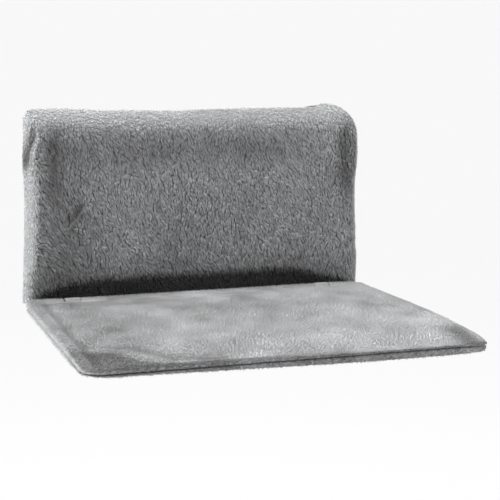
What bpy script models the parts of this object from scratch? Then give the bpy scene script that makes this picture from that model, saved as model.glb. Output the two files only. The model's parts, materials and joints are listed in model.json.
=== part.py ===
"""A padded pet bed that hangs on a radiator.

A tube frame in a plush sleeve stands against the radiator and hangs on two
adjustable hooks. A second frame in a plush sleeve is the platform: its rear
rod turns in brackets on the first frame, and two levers under the back's
lowest tube hold it level. The origin is the middle of the radiator's top
front edge, +Z is up and the bed reaches out along -Y.
"""

import math

import bmesh
import bpy
from mathutils import Vector

# Clearances
GAP = 0.0003                    # between two pieces that touch
SOFT_GAP = 0.0009               # between a cover and the foam inside it
RUNNING_GAP = 0.0004            # round the zip slider
CUT_PAST = 0.010                # how far a cutter reaches past what it cuts

# Overall sizes
PLATFORM_HALF_WIDTH = 0.232
PLATFORM_FRONT = -0.415         # front edge, from the radiator's face
PLATFORM_TOP = -0.2145          # rim of the platform, below the radiator's top
PLATFORM_CORNER = 0.030
BACK_INSET = 0.0075             # the back's side lies this far inside the platform's
BACK_TOP = 0.030                # top edge of the back, above the radiator's top
BACK_CORNER = 0.028
BACK_BELOW = 0.0015             # lower edge of the back, below the platform's rim

# Back sleeve: plush front panel and plain rear lining
COVER = 0.0045
LINING = 0.002
REAR_CLEARANCE = 0.0025         # lining to the radiator's face
REAR_ROUND = 0.008
REAR_HEM = 0.004                # flat band of plush behind the rear edge
SIDE_ROUND = 0.022
TOP_ROUND = 0.0195
BOTTOM_FLARE = 0.0065           # each side stands out this far at the bottom
SHOULDER_BULGE = 0.002
SHOULDER_HEIGHT = 0.80          # share of the back's height
SHOULDER_SPREAD = 0.12          # share of the height over which the bulge fades
TOP_DIP = 0.003                 # the top edge sinks this far in the middle
DIP_SHARES = (0.45, 0.80)       # of the half width, where it rises again
PUFF_RISE = 0.005               # puffed corner on the right
PUFF_FROM_SIDE = 0.0465
PUFF_WIDTH = 0.024
ROLL_TAPER = 0.063              # height over which a side roll fills out
ROLL_SLOPE = 0.030              # width of the slope from a roll to the middle
ROLL_CREST = 0.004              # a side slope ends this far inside the tube's centre
BAND_CREST = 0.002              # and the top one this far below it

# Back frame
TUBE_R = 0.005
TUBE_BEND = 0.025
BACK_WIRE_R = 0.002
BACK_WIRES = 4
SIDE_FOAM_R = 0.017
TOP_FOAM_R = 0.015
TOP_SLACK = 0.0020
TOP_FOAM_SHORT = 0.020          # the top foam stops this far before each bend
FOAM_ABOVE_TAPER = 0.003        # the side foam starts this far above a roll's taper
SIDE_FOAM_ARC = (-170.0, 118.0)  # degrees; the slot lets the cross wires reach the tube
TOP_FOAM_ARC = (60.0, 285.0)    # the slot lets the brackets' plates pass
PAD = 0.0065
PAD_CORNER = 0.008
PAD_ABOVE_TUBE = 0.008
TOP_WIRE_RISE = 0.007           # highest wire above the lower end of the plates
LOW_WIRE_DROP = 0.030           # lowest wire below the side foam
TUBE_BELOW_PIVOT = 0.005

# Platform frame and filling
ROD_R = 0.004
ROD_ROOM = 0.0005               # above and below the rod inside the sleeve
PLUSH = 0.0025
EDGE_TO_ROD = 0.0093            # seam edge to the rod's centre
REAR_BEND = 0.014
PLATFORM_WIRE_R = 0.002
PLATFORM_WIRES = 5
WIRE_TO_PIVOT = 0.0636          # rearmost wire, in front of the pivot
WIRE_TO_FRONT = 0.070           # foremost wire, behind the front edge
BOARD = 0.0025
BOARD_ROOM = 0.0007
BOARD_SHORT = 0.007             # the board stops this far in front of the rear rod
FOAM = 0.0024
FOAM_INSET = 0.037
FOAM_CORNER = 0.020
CROWN = 0.0025
SEAM_GAP = 0.0003
WRAP_STEP = 0.00015             # the rear wrap lies this far below the panel's face
WRAP_LAP = 0.004                # and runs this far into the panel
WRAP_ROOM = 0.0015              # beside a hinge's bush
LIP_START = -72.0               # degrees round the lip where each panel begins

# Hinge between the two frames
HINGE_TO_BEND = 0.0071          # hinge's middle to the bend of the back's tube
HINGE_REACH = 0.019             # pivot in front of the back's tube
CHEEK = 0.0025
CHANNEL_INSIDE = 0.011
PIVOT_LOBE_R = 0.0069
TUBE_LOBE_R = 0.008
WEB = 0.002
WEB_LENGTH = 0.014
BUSH_WALL = 0.0008
BUSH_FLANGE_R = 0.0069
BUSH_FLANGE = 0.001
LEVER_WIDTH = 0.008
LEVER_THICKNESS = 0.005
LEVER_TAIL = 0.005              # past the tube it bears on
LEVER_PAD = 0.006               # bearing length in front of the tube's centre
LEVER_CRANK = 0.010             # the arm straightens this far in front of it
LEVER_CHAMFER = 0.002
COVER_TO_LOBE = 0.0006

# Rubber bumpers on the lowest tube
BUMPER_TO_HINGE = 0.060
BUMPER_WIDTH = 0.030
BUMPER_HEIGHT = 0.020
BUMPER_FRONT = 0.0045           # in front of the tube's centre
BUMPER_ROUND = 0.003

# Hooks and their clamps
HOOK_TO_HINGE = 0.040
STRIP = 0.003
STRIP_WIDTH = 0.020
PLATE_WIDTH = 0.040
PLATE_TOP = 0.012
PLATE_BOTTOM = -0.052
STRIP_CORNER = 0.006
TONGUE_PAST_STUD = 0.010
REST_START = 0.002              # the tongue bears on the radiator from here
REST_RELIEF = 0.0004            # and clears its edge by this much before
SLIT_ROOM = 0.0008
STUD_R = 0.003
STUD_Y = 0.050
STUD_CHAMFER = 0.0008
HOOK_TRAVEL = 0.020             # each way from rest
RADIATOR_DEPTH = 0.085          # inside the hook at rest
HOOK_BEND = 0.007
HOOK_DROP = 0.042
HOOK_END = 0.006                # steel past each end of the slot
SLOT_ROOM = 0.0005
TIP_WALL = 0.002
TIP_LENGTH = 0.022
TIP_CORNER = 0.002
WASHER_R = 0.008
WASHER = 0.0012
KNOB_R = 0.0125
KNOB_LOBE = 0.0018
KNOB_LOBES = 6
KNOB_HEIGHT = 0.0095
KNOB_FOOT = 0.0025              # height of the plain collar under the lobes
KNOB_FOOT_SHARE = 0.64          # its radius, as a share of the grip's
KNOB_ROUND = 0.002
STUD_IN_KNOB = 0.0060

# Zip in the platform's bottom panel
ZIP_TO_REAR = 0.0231            # in front of the platform's rear edge
ZIP_TO_SIDE = 0.067
ZIP_SLOT = 0.010
TAPE_WIDTH = 0.024
TAPE = 0.0006
TAPE_OVERLAP = 0.010
TAPE_CORNER = 0.003
CHAIN_WIDTH = 0.005
CHAIN = 0.0018
CHAIN_SHORT = 0.003
COIL_BEVEL = 0.0005
COIL_GROOVE = 0.0004            # between the two rows of the coil
SLIDER_LENGTH = 0.009
SLIDER_WALL = 0.0014
SLIDER_PLATE = 0.002
SLIDER_FROM_END = 0.015
PIN_R = 0.0008
PULLER_WIDTH = 0.0064
PULLER_LENGTH = 0.024
PULLER_THICKNESS = 0.0024
PULLER_LOBE_R = 0.0022
PULLER_NECK_WIDTH = 0.003
PULLER_NECK_END = 0.0055        # below the pin
PULLER_SHOULDER = 0.0085
PULLER_CORNER = 0.002
EAR = 0.001
EAR_FOOT_WIDTH = 0.0044
EAR_WIDTH = 0.003
EAR_TIP_WIDTH = 0.002

# Places worked out from the sizes above
BACK_HALF_WIDTH = PLATFORM_HALF_WIDTH - BACK_INSET
BACK_BOTTOM = PLATFORM_TOP - BACK_BELOW
PUFF_X = BACK_HALF_WIDTH - PUFF_FROM_SIDE
BACK_REAR = -REAR_CLEARANCE
TUBE_Y = BACK_REAR - LINING - SOFT_GAP - SIDE_FOAM_R
TUBE_X = BACK_HALF_WIDTH - COVER - SOFT_GAP - SIDE_FOAM_R
TOP_TUBE_Z = BACK_TOP - TOP_DIP - COVER - TOP_SLACK - TOP_FOAM_R
HINGE_X = TUBE_X - TUBE_BEND - HINGE_TO_BEND
BUMPER_X = HINGE_X - BUMPER_TO_HINGE
HOOK_X = HINGE_X - HOOK_TO_HINGE
PIVOT_Y = TUBE_Y - HINGE_REACH
PIVOT_Z = PLATFORM_TOP - PLUSH - ROD_ROOM - ROD_R
LOW_TUBE_Z = PIVOT_Z - TUBE_BELOW_PIVOT
BACK_WIRE_Y = TUBE_Y + TUBE_R - BACK_WIRE_R
PAD_REAR = BACK_WIRE_Y - BACK_WIRE_R - GAP
PAD_FRONT = PAD_REAR - PAD
MIDDLE_DEPTH = BACK_REAR - (PAD_FRONT - GAP - COVER)
ROLL_DEPTH = BACK_REAR - (TUBE_Y - SIDE_FOAM_R - SOFT_GAP - COVER)
BAND_DEPTH = BACK_REAR - (TUBE_Y - TOP_FOAM_R - SOFT_GAP - COVER)
FOAM_BOTTOM = BACK_BOTTOM + ROLL_TAPER + FOAM_ABOVE_TAPER
ROD_X = PLATFORM_HALF_WIDTH - EDGE_TO_ROD
ROD_FRONT = PLATFORM_FRONT + EDGE_TO_ROD
WIRE_FIRST = PIVOT_Y - WIRE_TO_PIVOT
WIRE_LAST = PLATFORM_FRONT + WIRE_TO_FRONT
PANEL_HEIGHT = PLATFORM_TOP - PIVOT_Z - SEAM_GAP / 2
LIP_R = PANEL_HEIGHT / 2
PLATFORM_REAR = PIVOT_Y - PIVOT_LOBE_R - COVER_TO_LOBE
ZIP_Y = PLATFORM_REAR - ZIP_TO_REAR
ZIP_HALF_LENGTH = PLATFORM_HALF_WIDTH - ZIP_TO_SIDE
SLIDER_X = ZIP_HALF_LENGTH - SLIDER_FROM_END
BUSH_IN_R = ROD_R + GAP
BUSH_OUT_R = BUSH_IN_R + BUSH_WALL
PLATE_Y = TUBE_Y + TUBE_R + GAP
TONGUE_END = STUD_Y + TONGUE_PAST_STUD
HOOK_Z = STRIP + GAP
WASHER_Z = HOOK_Z + STRIP + GAP
KNOB_Z = WASHER_Z + WASHER + GAP
SLOT_HALF_WIDTH = STUD_R + SLOT_ROOM
SLOT_HALF_LENGTH = HOOK_TRAVEL + STUD_R + SLOT_ROOM
HOOK_FRONT = STUD_Y - SLOT_HALF_LENGTH - HOOK_END
BOARD_Z = PIVOT_Z - ROD_R + GAP / 2 + 2 * PLATFORM_WIRE_R + GAP
PLATFORM_WIRE_Z = PIVOT_Z - ROD_R + GAP / 2 + PLATFORM_WIRE_R
UNDERSIDE = PIVOT_Z - SEAM_GAP / 2 - PANEL_HEIGHT
CHEEK_OUT = CHANNEL_INSIDE / 2 + CHEEK
WRAP_HALF_WIDTH = HINGE_X - CHEEK_OUT - GAP - BUSH_FLANGE - WRAP_ROOM
TAPE_Z = UNDERSIDE + PLUSH + GAP
CHAIN_Z = TAPE_Z - GAP - CHAIN
SLIDER_Z = CHAIN_Z - RUNNING_GAP - SLIDER_PLATE
PULLER_Z = SLIDER_Z - RUNNING_GAP - PULLER_LOBE_R

SIDES = {"left": -1.0, "right": 1.0}


# Materials
def material(name, color, roughness, metallic=0.0):
    found = bpy.data.materials.get(name)
    if found:
        return found
    made = bpy.data.materials.new(name)
    made.use_nodes = True
    shader = made.node_tree.nodes["Principled BSDF"]
    shader.inputs["Base Color"].default_value = (*color, 1.0)
    shader.inputs["Roughness"].default_value = roughness
    shader.inputs["Metallic"].default_value = metallic
    return made


FINISHES = {
    "back_plush": ((0.20, 0.20, 0.21), 0.95, 0.0),
    "platform_plush": ((0.36, 0.36, 0.37), 0.95, 0.0),
    "lining": ((0.16, 0.16, 0.17), 0.9, 0.0),
    "foam": ((0.75, 0.73, 0.66), 0.95, 0.0),
    "board": ((0.42, 0.28, 0.16), 0.7, 0.0),
    "frame_paint": ((0.075, 0.077, 0.080), 0.45, 0.0),
    "zinc": ((0.60, 0.61, 0.63), 0.35, 1.0),
    "rubber": ((0.03, 0.03, 0.03), 0.8, 0.0),
    "nylon": ((0.045, 0.045, 0.047), 0.45, 0.0),
    "knob_plastic": ((0.04, 0.04, 0.045), 0.45, 0.0),
    "zip_tape": ((0.22, 0.22, 0.23), 0.9, 0.0),
    "zip_nylon": ((0.10, 0.10, 0.11), 0.5, 0.0),
}


# Small building blocks
def add_object(name, data, finish, parent=None, location=(0.0, 0.0, 0.0)):
    """Link a new object; under an empty, its place is still given in the world."""
    obj = bpy.data.objects.new(name, data)
    bpy.context.scene.collection.objects.link(obj)
    if not data.materials:
        data.materials.append(material(finish, *FINISHES[finish]))
    obj.location = location
    if parent:
        obj.parent = parent
        obj.matrix_parent_inverse = parent.matrix_world.inverted()
    return obj


def pivot(name, location, parent=None):
    """An empty that marks a joint's axis."""
    empty = bpy.data.objects.new(name, None)
    bpy.context.scene.collection.objects.link(empty)
    empty.empty_display_size = 0.02
    empty.location = location
    if parent:
        empty.parent = parent
        empty.matrix_parent_inverse = parent.matrix_world.inverted()
    bpy.context.view_layer.update()
    return empty


def finish_mesh(bm, name, sharp_degrees=35.0):
    """Turn a bmesh into a smooth-shaded mesh with its faces pointing out."""
    bmesh.ops.recalc_face_normals(bm, faces=bm.faces)
    mesh = bpy.data.meshes.new(name)
    bm.to_mesh(mesh)
    bm.free()
    mesh.shade_smooth()
    mesh.set_sharp_from_angle(angle=math.radians(sharp_degrees))
    return mesh


def extruded(name, outline, start, end, across):
    """A closed outline pushed from start to end along one axis.

    The outline's two coordinates lie along the two other axes, in X, Y, Z order.
    """
    def place(a, b, c):
        return {"X": (c, a, b), "Y": (a, c, b), "Z": (a, b, c)}[across]

    bm = bmesh.new()
    base = [bm.verts.new(place(a, b, start)) for a, b in outline]
    face = bm.faces.new(base)
    pushed = bmesh.ops.extrude_face_region(bm, geom=[face])
    moved = [item for item in pushed["geom"] if isinstance(item, bmesh.types.BMVert)]
    bmesh.ops.translate(bm, verts=moved, vec=Vector(place(0.0, 0.0, end - start)))
    return finish_mesh(bm, name)


def arc(center, radius, start, end, steps):
    """Points of an arc, angles in degrees."""
    points = []
    for step in range(steps + 1):
        angle = math.radians(start + (end - start) * step / steps)
        points.append((center[0] + radius * math.cos(angle),
                       center[1] + radius * math.sin(angle)))
    return points


def circle(center, radius, sides):
    return arc(center, radius, 0.0, 360.0 - 360.0 / sides, sides - 1)


def rounded_rectangle(low, high, radius, steps=4):
    """An upright rectangle with round corners, counter-clockwise from low right."""
    x0, y0 = low
    x1, y1 = high
    corners = [((x1 - radius, y0 + radius), -90.0), ((x1 - radius, y1 - radius), 0.0),
               ((x0 + radius, y1 - radius), 90.0), ((x0 + radius, y0 + radius), 180.0)]
    points = []
    for center, start in corners:
        points += arc(center, radius, start, start + 90.0, steps)
    return points


def block(name, low, high):
    """A plain box between two corners, for cutting."""
    outline = [(low[0], low[1]), (high[0], low[1]), (high[0], high[1]), (low[0], high[1])]
    return extruded(name, outline, low[2], high[2], "Z")


def turned(name, profile, sides, across):
    """A closed profile of (radius, distance) points turned about one axis."""
    directions = {"X": (Vector((0, 1, 0)), Vector((0, 0, 1)), Vector((1, 0, 0))),
                  "Z": (Vector((1, 0, 0)), Vector((0, 1, 0)), Vector((0, 0, 1)))}
    side, up, axis = directions[across]
    bm = bmesh.new()
    rings = []
    for step in range(sides):
        angle = 2.0 * math.pi * step / sides
        out = side * math.cos(angle) + up * math.sin(angle)
        rings.append([bm.verts.new(out * r + axis * d) for r, d in profile])
    for ring, following in zip(rings, rings[1:] + rings[:1]):
        for index in range(len(profile)):
            after = (index + 1) % len(profile)
            bm.faces.new((ring[index], ring[after], following[after], following[index]))
    return finish_mesh(bm, name)


def bent_loop(name, path, radius, sides=12):
    """A round bar or tube bent into a closed loop through the path's points."""
    curve = bpy.data.curves.new(name, "CURVE")
    curve.dimensions = "3D"
    curve.bevel_depth = radius
    curve.bevel_resolution = (sides - 4) // 2
    spline = curve.splines.new("POLY")
    spline.points.add(len(path) - 1)
    for point, place in zip(spline.points, path):
        point.co = (*place, 1.0)
    spline.use_cyclic_u = True
    return curve


def add_cutter(name, data, location=(0.0, 0.0, 0.0)):
    cutter = bpy.data.objects.new(name, data)
    bpy.context.scene.collection.objects.link(cutter)
    cutter.location = location
    cutter.hide_render = True
    cutter.display_type = "WIRE"
    return cutter


def cut(obj, *cutters):
    for cutter in cutters:
        modifier = obj.modifiers.new("cut", "BOOLEAN")
        modifier.operation = "DIFFERENCE"
        modifier.solver = "EXACT"
        modifier.object = cutter


def fuse(obj, other):
    modifier = obj.modifiers.new("fuse", "BOOLEAN")
    modifier.operation = "UNION"
    modifier.solver = "EXACT"
    modifier.object = other


def smoothstep(low, high, value):
    share = min(max((value - low) / (high - low), 0.0), 1.0)
    return share * share * (3.0 - 2.0 * share)


# Sleeve panels: an inner grid with rings of faces that curl round its edge
CORNER_STEPS = (0.5, 1.0)


def columns(straight):
    """Grid lines across: (place on the straight part, share of the corner past it)."""
    left = [(-1.0, -share) for share in reversed(CORNER_STEPS)]
    right = [(1.0, share) for share in CORNER_STEPS]
    return left + [(place, 0.0) for place in straight] + right


def rows(straight):
    """Grid lines from the open end to the curled one."""
    return [(place, 0.0) for place in straight] + [(1.0, share) for share in CORNER_STEPS]


class Outline:
    """A flat outline, open at one end and round at its two far corners.

    It gives the two flat coordinates of a grid point (inner) and of the edge
    next to it (outer). The rounds are the widths of the curled border.
    """

    def __init__(self, half, near, far, corner, side_round, end_round):
        self.half = half
        self.near = near
        self.far = far
        self.corner = corner
        self.side_round = side_round
        self.end_round = end_round

    def center(self, column, row):
        height = row[0]
        half = self.half(height) - self.corner
        x = column[0] * half
        length = self.far(x) - self.near
        away = math.copysign(1.0, length)
        return Vector((x, self.near + height * (length - away * self.corner))), away

    def bend(self, column, row):
        a = column[1]
        b = row[1]
        return a * math.sqrt(1.0 - b * b / 2.0), b * math.sqrt(1.0 - a * a / 2.0)

    def inner(self, column, row):
        place, away = self.center(column, row)
        a, b = self.bend(column, row)
        return place + Vector((a * (self.corner - self.side_round),
                               away * b * (self.corner - self.end_round)))

    def outer(self, column, row):
        place, away = self.center(column, row)
        a, b = self.bend(column, row)
        out = Vector((a, away * b)).normalized()
        return place + out * self.corner


def border(column_count, row_count):
    """Grid indexes along the edge: up one side, across the far end and down again."""
    side = [(0, row) for row in range(row_count)]
    across = [(column, row_count - 1) for column in range(1, column_count - 1)]
    back = [(column_count - 1, row) for row in reversed(range(row_count))]
    return side + across + back


def sleeve_panel(name, outline, column_list, row_list, profile, place, thickness,
                 finish, parent=None, flip=False):
    """A curled sheet, thickened inwards.

    profile holds (share of the border's width, share of the depth) from the
    rim to the inner grid; place turns flat coordinates and a share into a point.
    """
    bm = bmesh.new()
    grid = [[bm.verts.new(place(outline.inner(column, row), 1.0)) for column in column_list]
            for row in row_list]
    faces = []
    for low, high in zip(grid, grid[1:]):
        for index in range(len(low) - 1):
            faces.append((low[index], low[index + 1], high[index + 1], high[index]))
    edge = border(len(column_list), len(row_list))
    rings = []
    for width, share in profile[:-1]:
        ring = []
        for i, j in edge:
            inner = outline.inner(column_list[i], row_list[j])
            outer = outline.outer(column_list[i], row_list[j])
            ring.append(bm.verts.new(place(outer.lerp(inner, width), share)))
        rings.append(ring)
    rings.append([grid[j][i] for i, j in edge])
    for out, inside in zip(rings, rings[1:]):
        for index in range(len(edge) - 1):
            faces.append((out[index], inside[index], inside[index + 1], out[index + 1]))
    for corners in faces:
        bm.faces.new(corners[::-1] if flip else corners)
    mesh = bpy.data.meshes.new(name)
    bm.to_mesh(mesh)
    bm.free()
    mesh.shade_smooth()
    mesh.set_sharp_from_angle(angle=math.radians(50.0))
    obj = add_object(name, mesh, finish, parent)
    solidify = obj.modifiers.new("thickness", "SOLIDIFY")
    solidify.thickness = thickness
    solidify.offset = -1.0
    return obj


# Back sleeve
BACK_COLUMNS = (-1.0, -0.93, -0.85, -0.72, -0.50, -0.25, 0.0,
                0.25, 0.50, 0.72, 0.85, 0.93, 1.0)
BACK_ROWS = (0.0, 0.14, 0.30, 0.46, 0.62, 0.78, 0.90, 1.0)


def back_half_width(height):
    """Half width at a height between the bottom (0) and the shoulders (1)."""
    bulge = math.exp(-((height - SHOULDER_HEIGHT) / SHOULDER_SPREAD) ** 2)
    return BACK_HALF_WIDTH + BOTTOM_FLARE * (1.0 - height) ** 2 + SHOULDER_BULGE * bulge


def back_top(x):
    """Height of the top edge, lower in the middle and puffed up at the right corner."""
    dip = TOP_DIP * (1.0 - smoothstep(*DIP_SHARES, abs(x) / BACK_HALF_WIDTH))
    puff = PUFF_RISE * math.exp(-((x - PUFF_X) / PUFF_WIDTH) ** 2)
    return BACK_TOP - dip + puff


def back_depth(x, z):
    """How far the plush stands out from the sleeve's rear plane."""
    crest = TUBE_X - ROLL_CREST
    side = smoothstep(crest - ROLL_SLOPE, crest, abs(x))
    rise = min(max((z - BACK_BOTTOM) / ROLL_TAPER, 0.0), 1.0)
    band = smoothstep(TOP_TUBE_Z - ROLL_SLOPE, TOP_TUBE_Z - BAND_CREST, z)
    roll = (ROLL_DEPTH - MIDDLE_DEPTH) * side * rise
    top = (BAND_DEPTH - MIDDLE_DEPTH) * band
    return MIDDLE_DEPTH + (roll ** 4 + top ** 4) ** 0.25


def sleeve_profile():
    """From the rear rim round the rear edge, along the side and round the front edge."""
    points = [(REAR_ROUND + REAR_HEM, 0.0)]
    for angle in (0.0, 45.0, 90.0):
        a = math.radians(angle)
        points.append((REAR_ROUND * (1.0 - math.sin(a)), REAR_ROUND * (1.0 - math.cos(a))))
    for angle in (0.0, 22.5, 45.0, 67.5, 90.0):
        b = math.radians(angle)
        points.append((SIDE_ROUND * (1.0 - math.cos(b)),
                       ROLL_DEPTH - SIDE_ROUND * (1.0 - math.sin(b))))
    return [(inset / SIDE_ROUND, distance / ROLL_DEPTH) for inset, distance in points]


def make_back_cover():
    outline = Outline(back_half_width, BACK_BOTTOM, back_top, BACK_CORNER,
                      SIDE_ROUND, TOP_ROUND)
    column_list = columns(BACK_COLUMNS)
    row_list = rows(BACK_ROWS)

    def place(flat, share):
        return flat.x, BACK_REAR - back_depth(flat.x, flat.y) * share, flat.y

    profile = sleeve_profile()
    sleeve_panel("back_cover_front", outline, column_list, row_list, profile, place,
                 COVER, "back_plush")

    rim = profile[0][0] + GAP / TOP_ROUND
    edge = []
    for i, j in border(len(column_list), len(row_list)):
        inner = outline.inner(column_list[i], row_list[j])
        outer = outline.outer(column_list[i], row_list[j])
        edge.append(tuple(outer.lerp(inner, rim)))
    mesh = extruded("back_cover_rear", edge, BACK_REAR, BACK_REAR - LINING, "Y")
    lining = add_object("back_cover_rear", mesh, "lining")
    for side_name, sign in SIDES.items():
        x = sign * HOOK_X
        half = STRIP_WIDTH / 2 + SLIT_ROOM
        slit = block("slit_" + side_name,
                     (x - half, BACK_REAR - CUT_PAST, -SLIT_ROOM),
                     (x + half, BACK_REAR + CUT_PAST, STRIP + SLIT_ROOM))
        cut(lining, add_cutter("cutter_slit_" + side_name, slit))


# Back frame with its wires, foam and pad
def make_back_frame():
    loop = rounded_rectangle((-TUBE_X, LOW_TUBE_Z), (TUBE_X, TOP_TUBE_Z), TUBE_BEND, 6)
    path = [(x, TUBE_Y, z) for x, z in loop]
    add_object("back_frame", bent_loop("back_frame", path, TUBE_R), "frame_paint")
    half = TUBE_X - TUBE_R - GAP
    wire = extruded("back_wire", circle((0.0, 0.0), BACK_WIRE_R, 8), -half, half, "X")
    low = FOAM_BOTTOM - LOW_WIRE_DROP
    high = PLATE_BOTTOM + TOP_WIRE_RISE
    for index in range(BACK_WIRES):
        z = high + (low - high) * index / (BACK_WIRES - 1)
        add_object("back_wire_%d" % (index + 1), wire, "frame_paint",
                   location=(0.0, BACK_WIRE_Y, z))


def ring_sector(center, inner, outer, start, end, steps):
    return arc(center, outer, start, end, steps) + arc(center, inner, end, start, steps)


def make_back_foam():
    for side_name, sign in SIDES.items():
        section = ring_sector((0.0, 0.0), TUBE_R + GAP, SIDE_FOAM_R, *SIDE_FOAM_ARC, 16)
        section = [(sign * x, y) for x, y in section]
        mesh = extruded("foam_sleeve_" + side_name, section,
                        FOAM_BOTTOM, TOP_TUBE_Z - TUBE_BEND - GAP, "Z")
        add_object("foam_sleeve_" + side_name, mesh, "foam",
                   location=(sign * TUBE_X, TUBE_Y, 0.0))
    section = ring_sector((0.0, 0.0), TUBE_R + GAP, TOP_FOAM_R, *TOP_FOAM_ARC, 14)
    half = TUBE_X - TUBE_BEND - TOP_FOAM_SHORT
    mesh = extruded("foam_sleeve_top", section, -half, half, "X")
    add_object("foam_sleeve_top", mesh, "foam", location=(0.0, TUBE_Y, TOP_TUBE_Z))
    half = TUBE_X - SIDE_FOAM_R - SOFT_GAP
    outline = rounded_rectangle((-half, LOW_TUBE_Z + TUBE_R + PAD_ABOVE_TUBE),
                                (half, TOP_TUBE_Z - TOP_FOAM_R - SOFT_GAP), PAD_CORNER, 3)
    mesh = extruded("back_pad", outline, PAD_FRONT, PAD_REAR, "Y")
    add_object("back_pad", mesh, "foam")


# Hooks
def make_hook_brackets():
    half = PLATE_WIDTH / 2
    plate = rounded_rectangle((-half, PLATE_BOTTOM), (half, PLATE_TOP), STRIP_CORNER)
    plate_mesh = extruded("hook_bracket", plate, PLATE_Y, PLATE_Y + STRIP, "Y")
    half = STRIP_WIDTH / 2
    corner_x = half - STRIP_CORNER
    corner_y = TONGUE_END - STRIP_CORNER
    tongue = [(-half, PLATE_Y + STRIP / 2), (half, PLATE_Y + STRIP / 2)]
    tongue += arc((corner_x, corner_y), STRIP_CORNER, 0.0, 90.0, 4)
    tongue += arc((-corner_x, corner_y), STRIP_CORNER, 90.0, 180.0, 4)
    tongue_mesh = extruded("tongue", tongue, 0.0, STRIP, "Z")
    relief = block("relief", (-half - CUT_PAST, PLATE_Y - CUT_PAST, -CUT_PAST),
                   (half + CUT_PAST, REST_START, REST_RELIEF))
    stud_top = KNOB_Z + STUD_IN_KNOB
    stud = [(0.0, STRIP + GAP), (STUD_R, STRIP + GAP), (STUD_R, stud_top - STUD_CHAMFER),
            (STUD_R - STUD_CHAMFER, stud_top), (0.0, stud_top)]
    stud_mesh = solid_of_revolution("clamp_stud", stud, 16)
    for side_name, sign in SIDES.items():
        place = (sign * HOOK_X, 0.0, 0.0)
        bracket = add_object("hook_bracket_" + side_name, plate_mesh, "zinc", location=place)
        strip = add_cutter("tongue_" + side_name, tongue_mesh, place)
        cut(strip, add_cutter("cutter_relief_" + side_name, relief, place))
        fuse(bracket, strip)
        add_object("clamp_stud_" + side_name, stud_mesh, "zinc",
                   location=(sign * HOOK_X, STUD_Y, 0.0))


def solid_of_revolution(name, profile, sides):
    """A profile from the axis out and back to the axis, turned about Z."""
    bm = bmesh.new()
    verts = [bm.verts.new((r, 0.0, z)) for r, z in profile]
    edges = [bm.edges.new(pair) for pair in zip(verts, verts[1:])]
    bmesh.ops.spin(bm, geom=verts + edges, cent=(0, 0, 0), axis=(0, 0, 1),
                   angle=2.0 * math.pi, steps=sides, use_merge=True)
    bmesh.ops.remove_doubles(bm, verts=bm.verts, dist=0.00001)
    return finish_mesh(bm, name)


def hook_section():
    """Side view of the J: along the radiator's top, round a bend and down behind it."""
    inner = RADIATOR_DEPTH
    outer = inner + STRIP
    bend = (outer - HOOK_BEND, HOOK_Z + STRIP - HOOK_BEND)
    outside = [(HOOK_FRONT, HOOK_Z + STRIP)]
    outside += arc(bend, HOOK_BEND, 90.0, 0.0, 5) + [(outer, -HOOK_DROP)]
    inside = [(inner, -HOOK_DROP)] + arc(bend, HOOK_BEND - STRIP, 0.0, 90.0, 5)
    return outside + inside + [(HOOK_FRONT, HOOK_Z)]


def make_hooks():
    half = STRIP_WIDTH / 2
    hook_mesh = extruded("hook", hook_section(), -half, half, "X")
    slot = arc((0.0, STUD_Y + HOOK_TRAVEL), SLOT_HALF_WIDTH, 0.0, 180.0, 6)
    slot += arc((0.0, STUD_Y - HOOK_TRAVEL), SLOT_HALF_WIDTH, 180.0, 360.0, 6)
    slot_mesh = extruded("slot", slot, HOOK_Z - STRIP / 2, HOOK_Z + STRIP + STRIP / 2, "Z")
    wall = TIP_WALL + GAP
    tip = rounded_rectangle((-half - wall, RADIATOR_DEPTH - wall),
                            (half + wall, RADIATOR_DEPTH + STRIP + wall), TIP_CORNER, 3)
    tip_low = -HOOK_DROP - wall
    tip_mesh = extruded("hook_tip", tip, tip_low, tip_low + TIP_LENGTH, "Z")
    pocket = block("pocket", (-half - GAP, RADIATOR_DEPTH - GAP, -HOOK_DROP - GAP),
                   (half + GAP, RADIATOR_DEPTH + STRIP + GAP, 0.0))
    washer = turned("clamp_washer", [(STUD_R + GAP, 0.0), (WASHER_R, 0.0),
                                     (WASHER_R, WASHER), (STUD_R + GAP, WASHER)], 20, "Z")
    knob_mesh = make_knob_mesh()
    bore = extruded("knob_bore", circle((0.0, 0.0), STUD_R + GAP, 16),
                    -GAP, STUD_IN_KNOB + GAP, "Z")
    for side_name, sign in SIDES.items():
        place = (sign * HOOK_X, 0.0, 0.0)
        slide = pivot("hook_%s_slide" % side_name, (sign * HOOK_X, STUD_Y, HOOK_Z))
        hook = add_object("hook_" + side_name, hook_mesh, "zinc", slide, place)
        cut(hook, add_cutter("cutter_slot_" + side_name, slot_mesh, place))
        cap = add_object("hook_tip_" + side_name, tip_mesh, "rubber", slide, place)
        cut(cap, add_cutter("cutter_pocket_" + side_name, pocket, place))
        turn = pivot("knob_%s_axis" % side_name, (sign * HOOK_X, STUD_Y, KNOB_Z))
        add_object("clamp_washer_" + side_name, washer, "zinc", turn,
                   (sign * HOOK_X, STUD_Y, WASHER_Z))
        knob = add_object("knob_" + side_name, knob_mesh, "knob_plastic", turn,
                          (sign * HOOK_X, STUD_Y, KNOB_Z))
        cut(knob, add_cutter("cutter_bore_" + side_name, bore,
                             (sign * HOOK_X, STUD_Y, KNOB_Z)))


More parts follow.
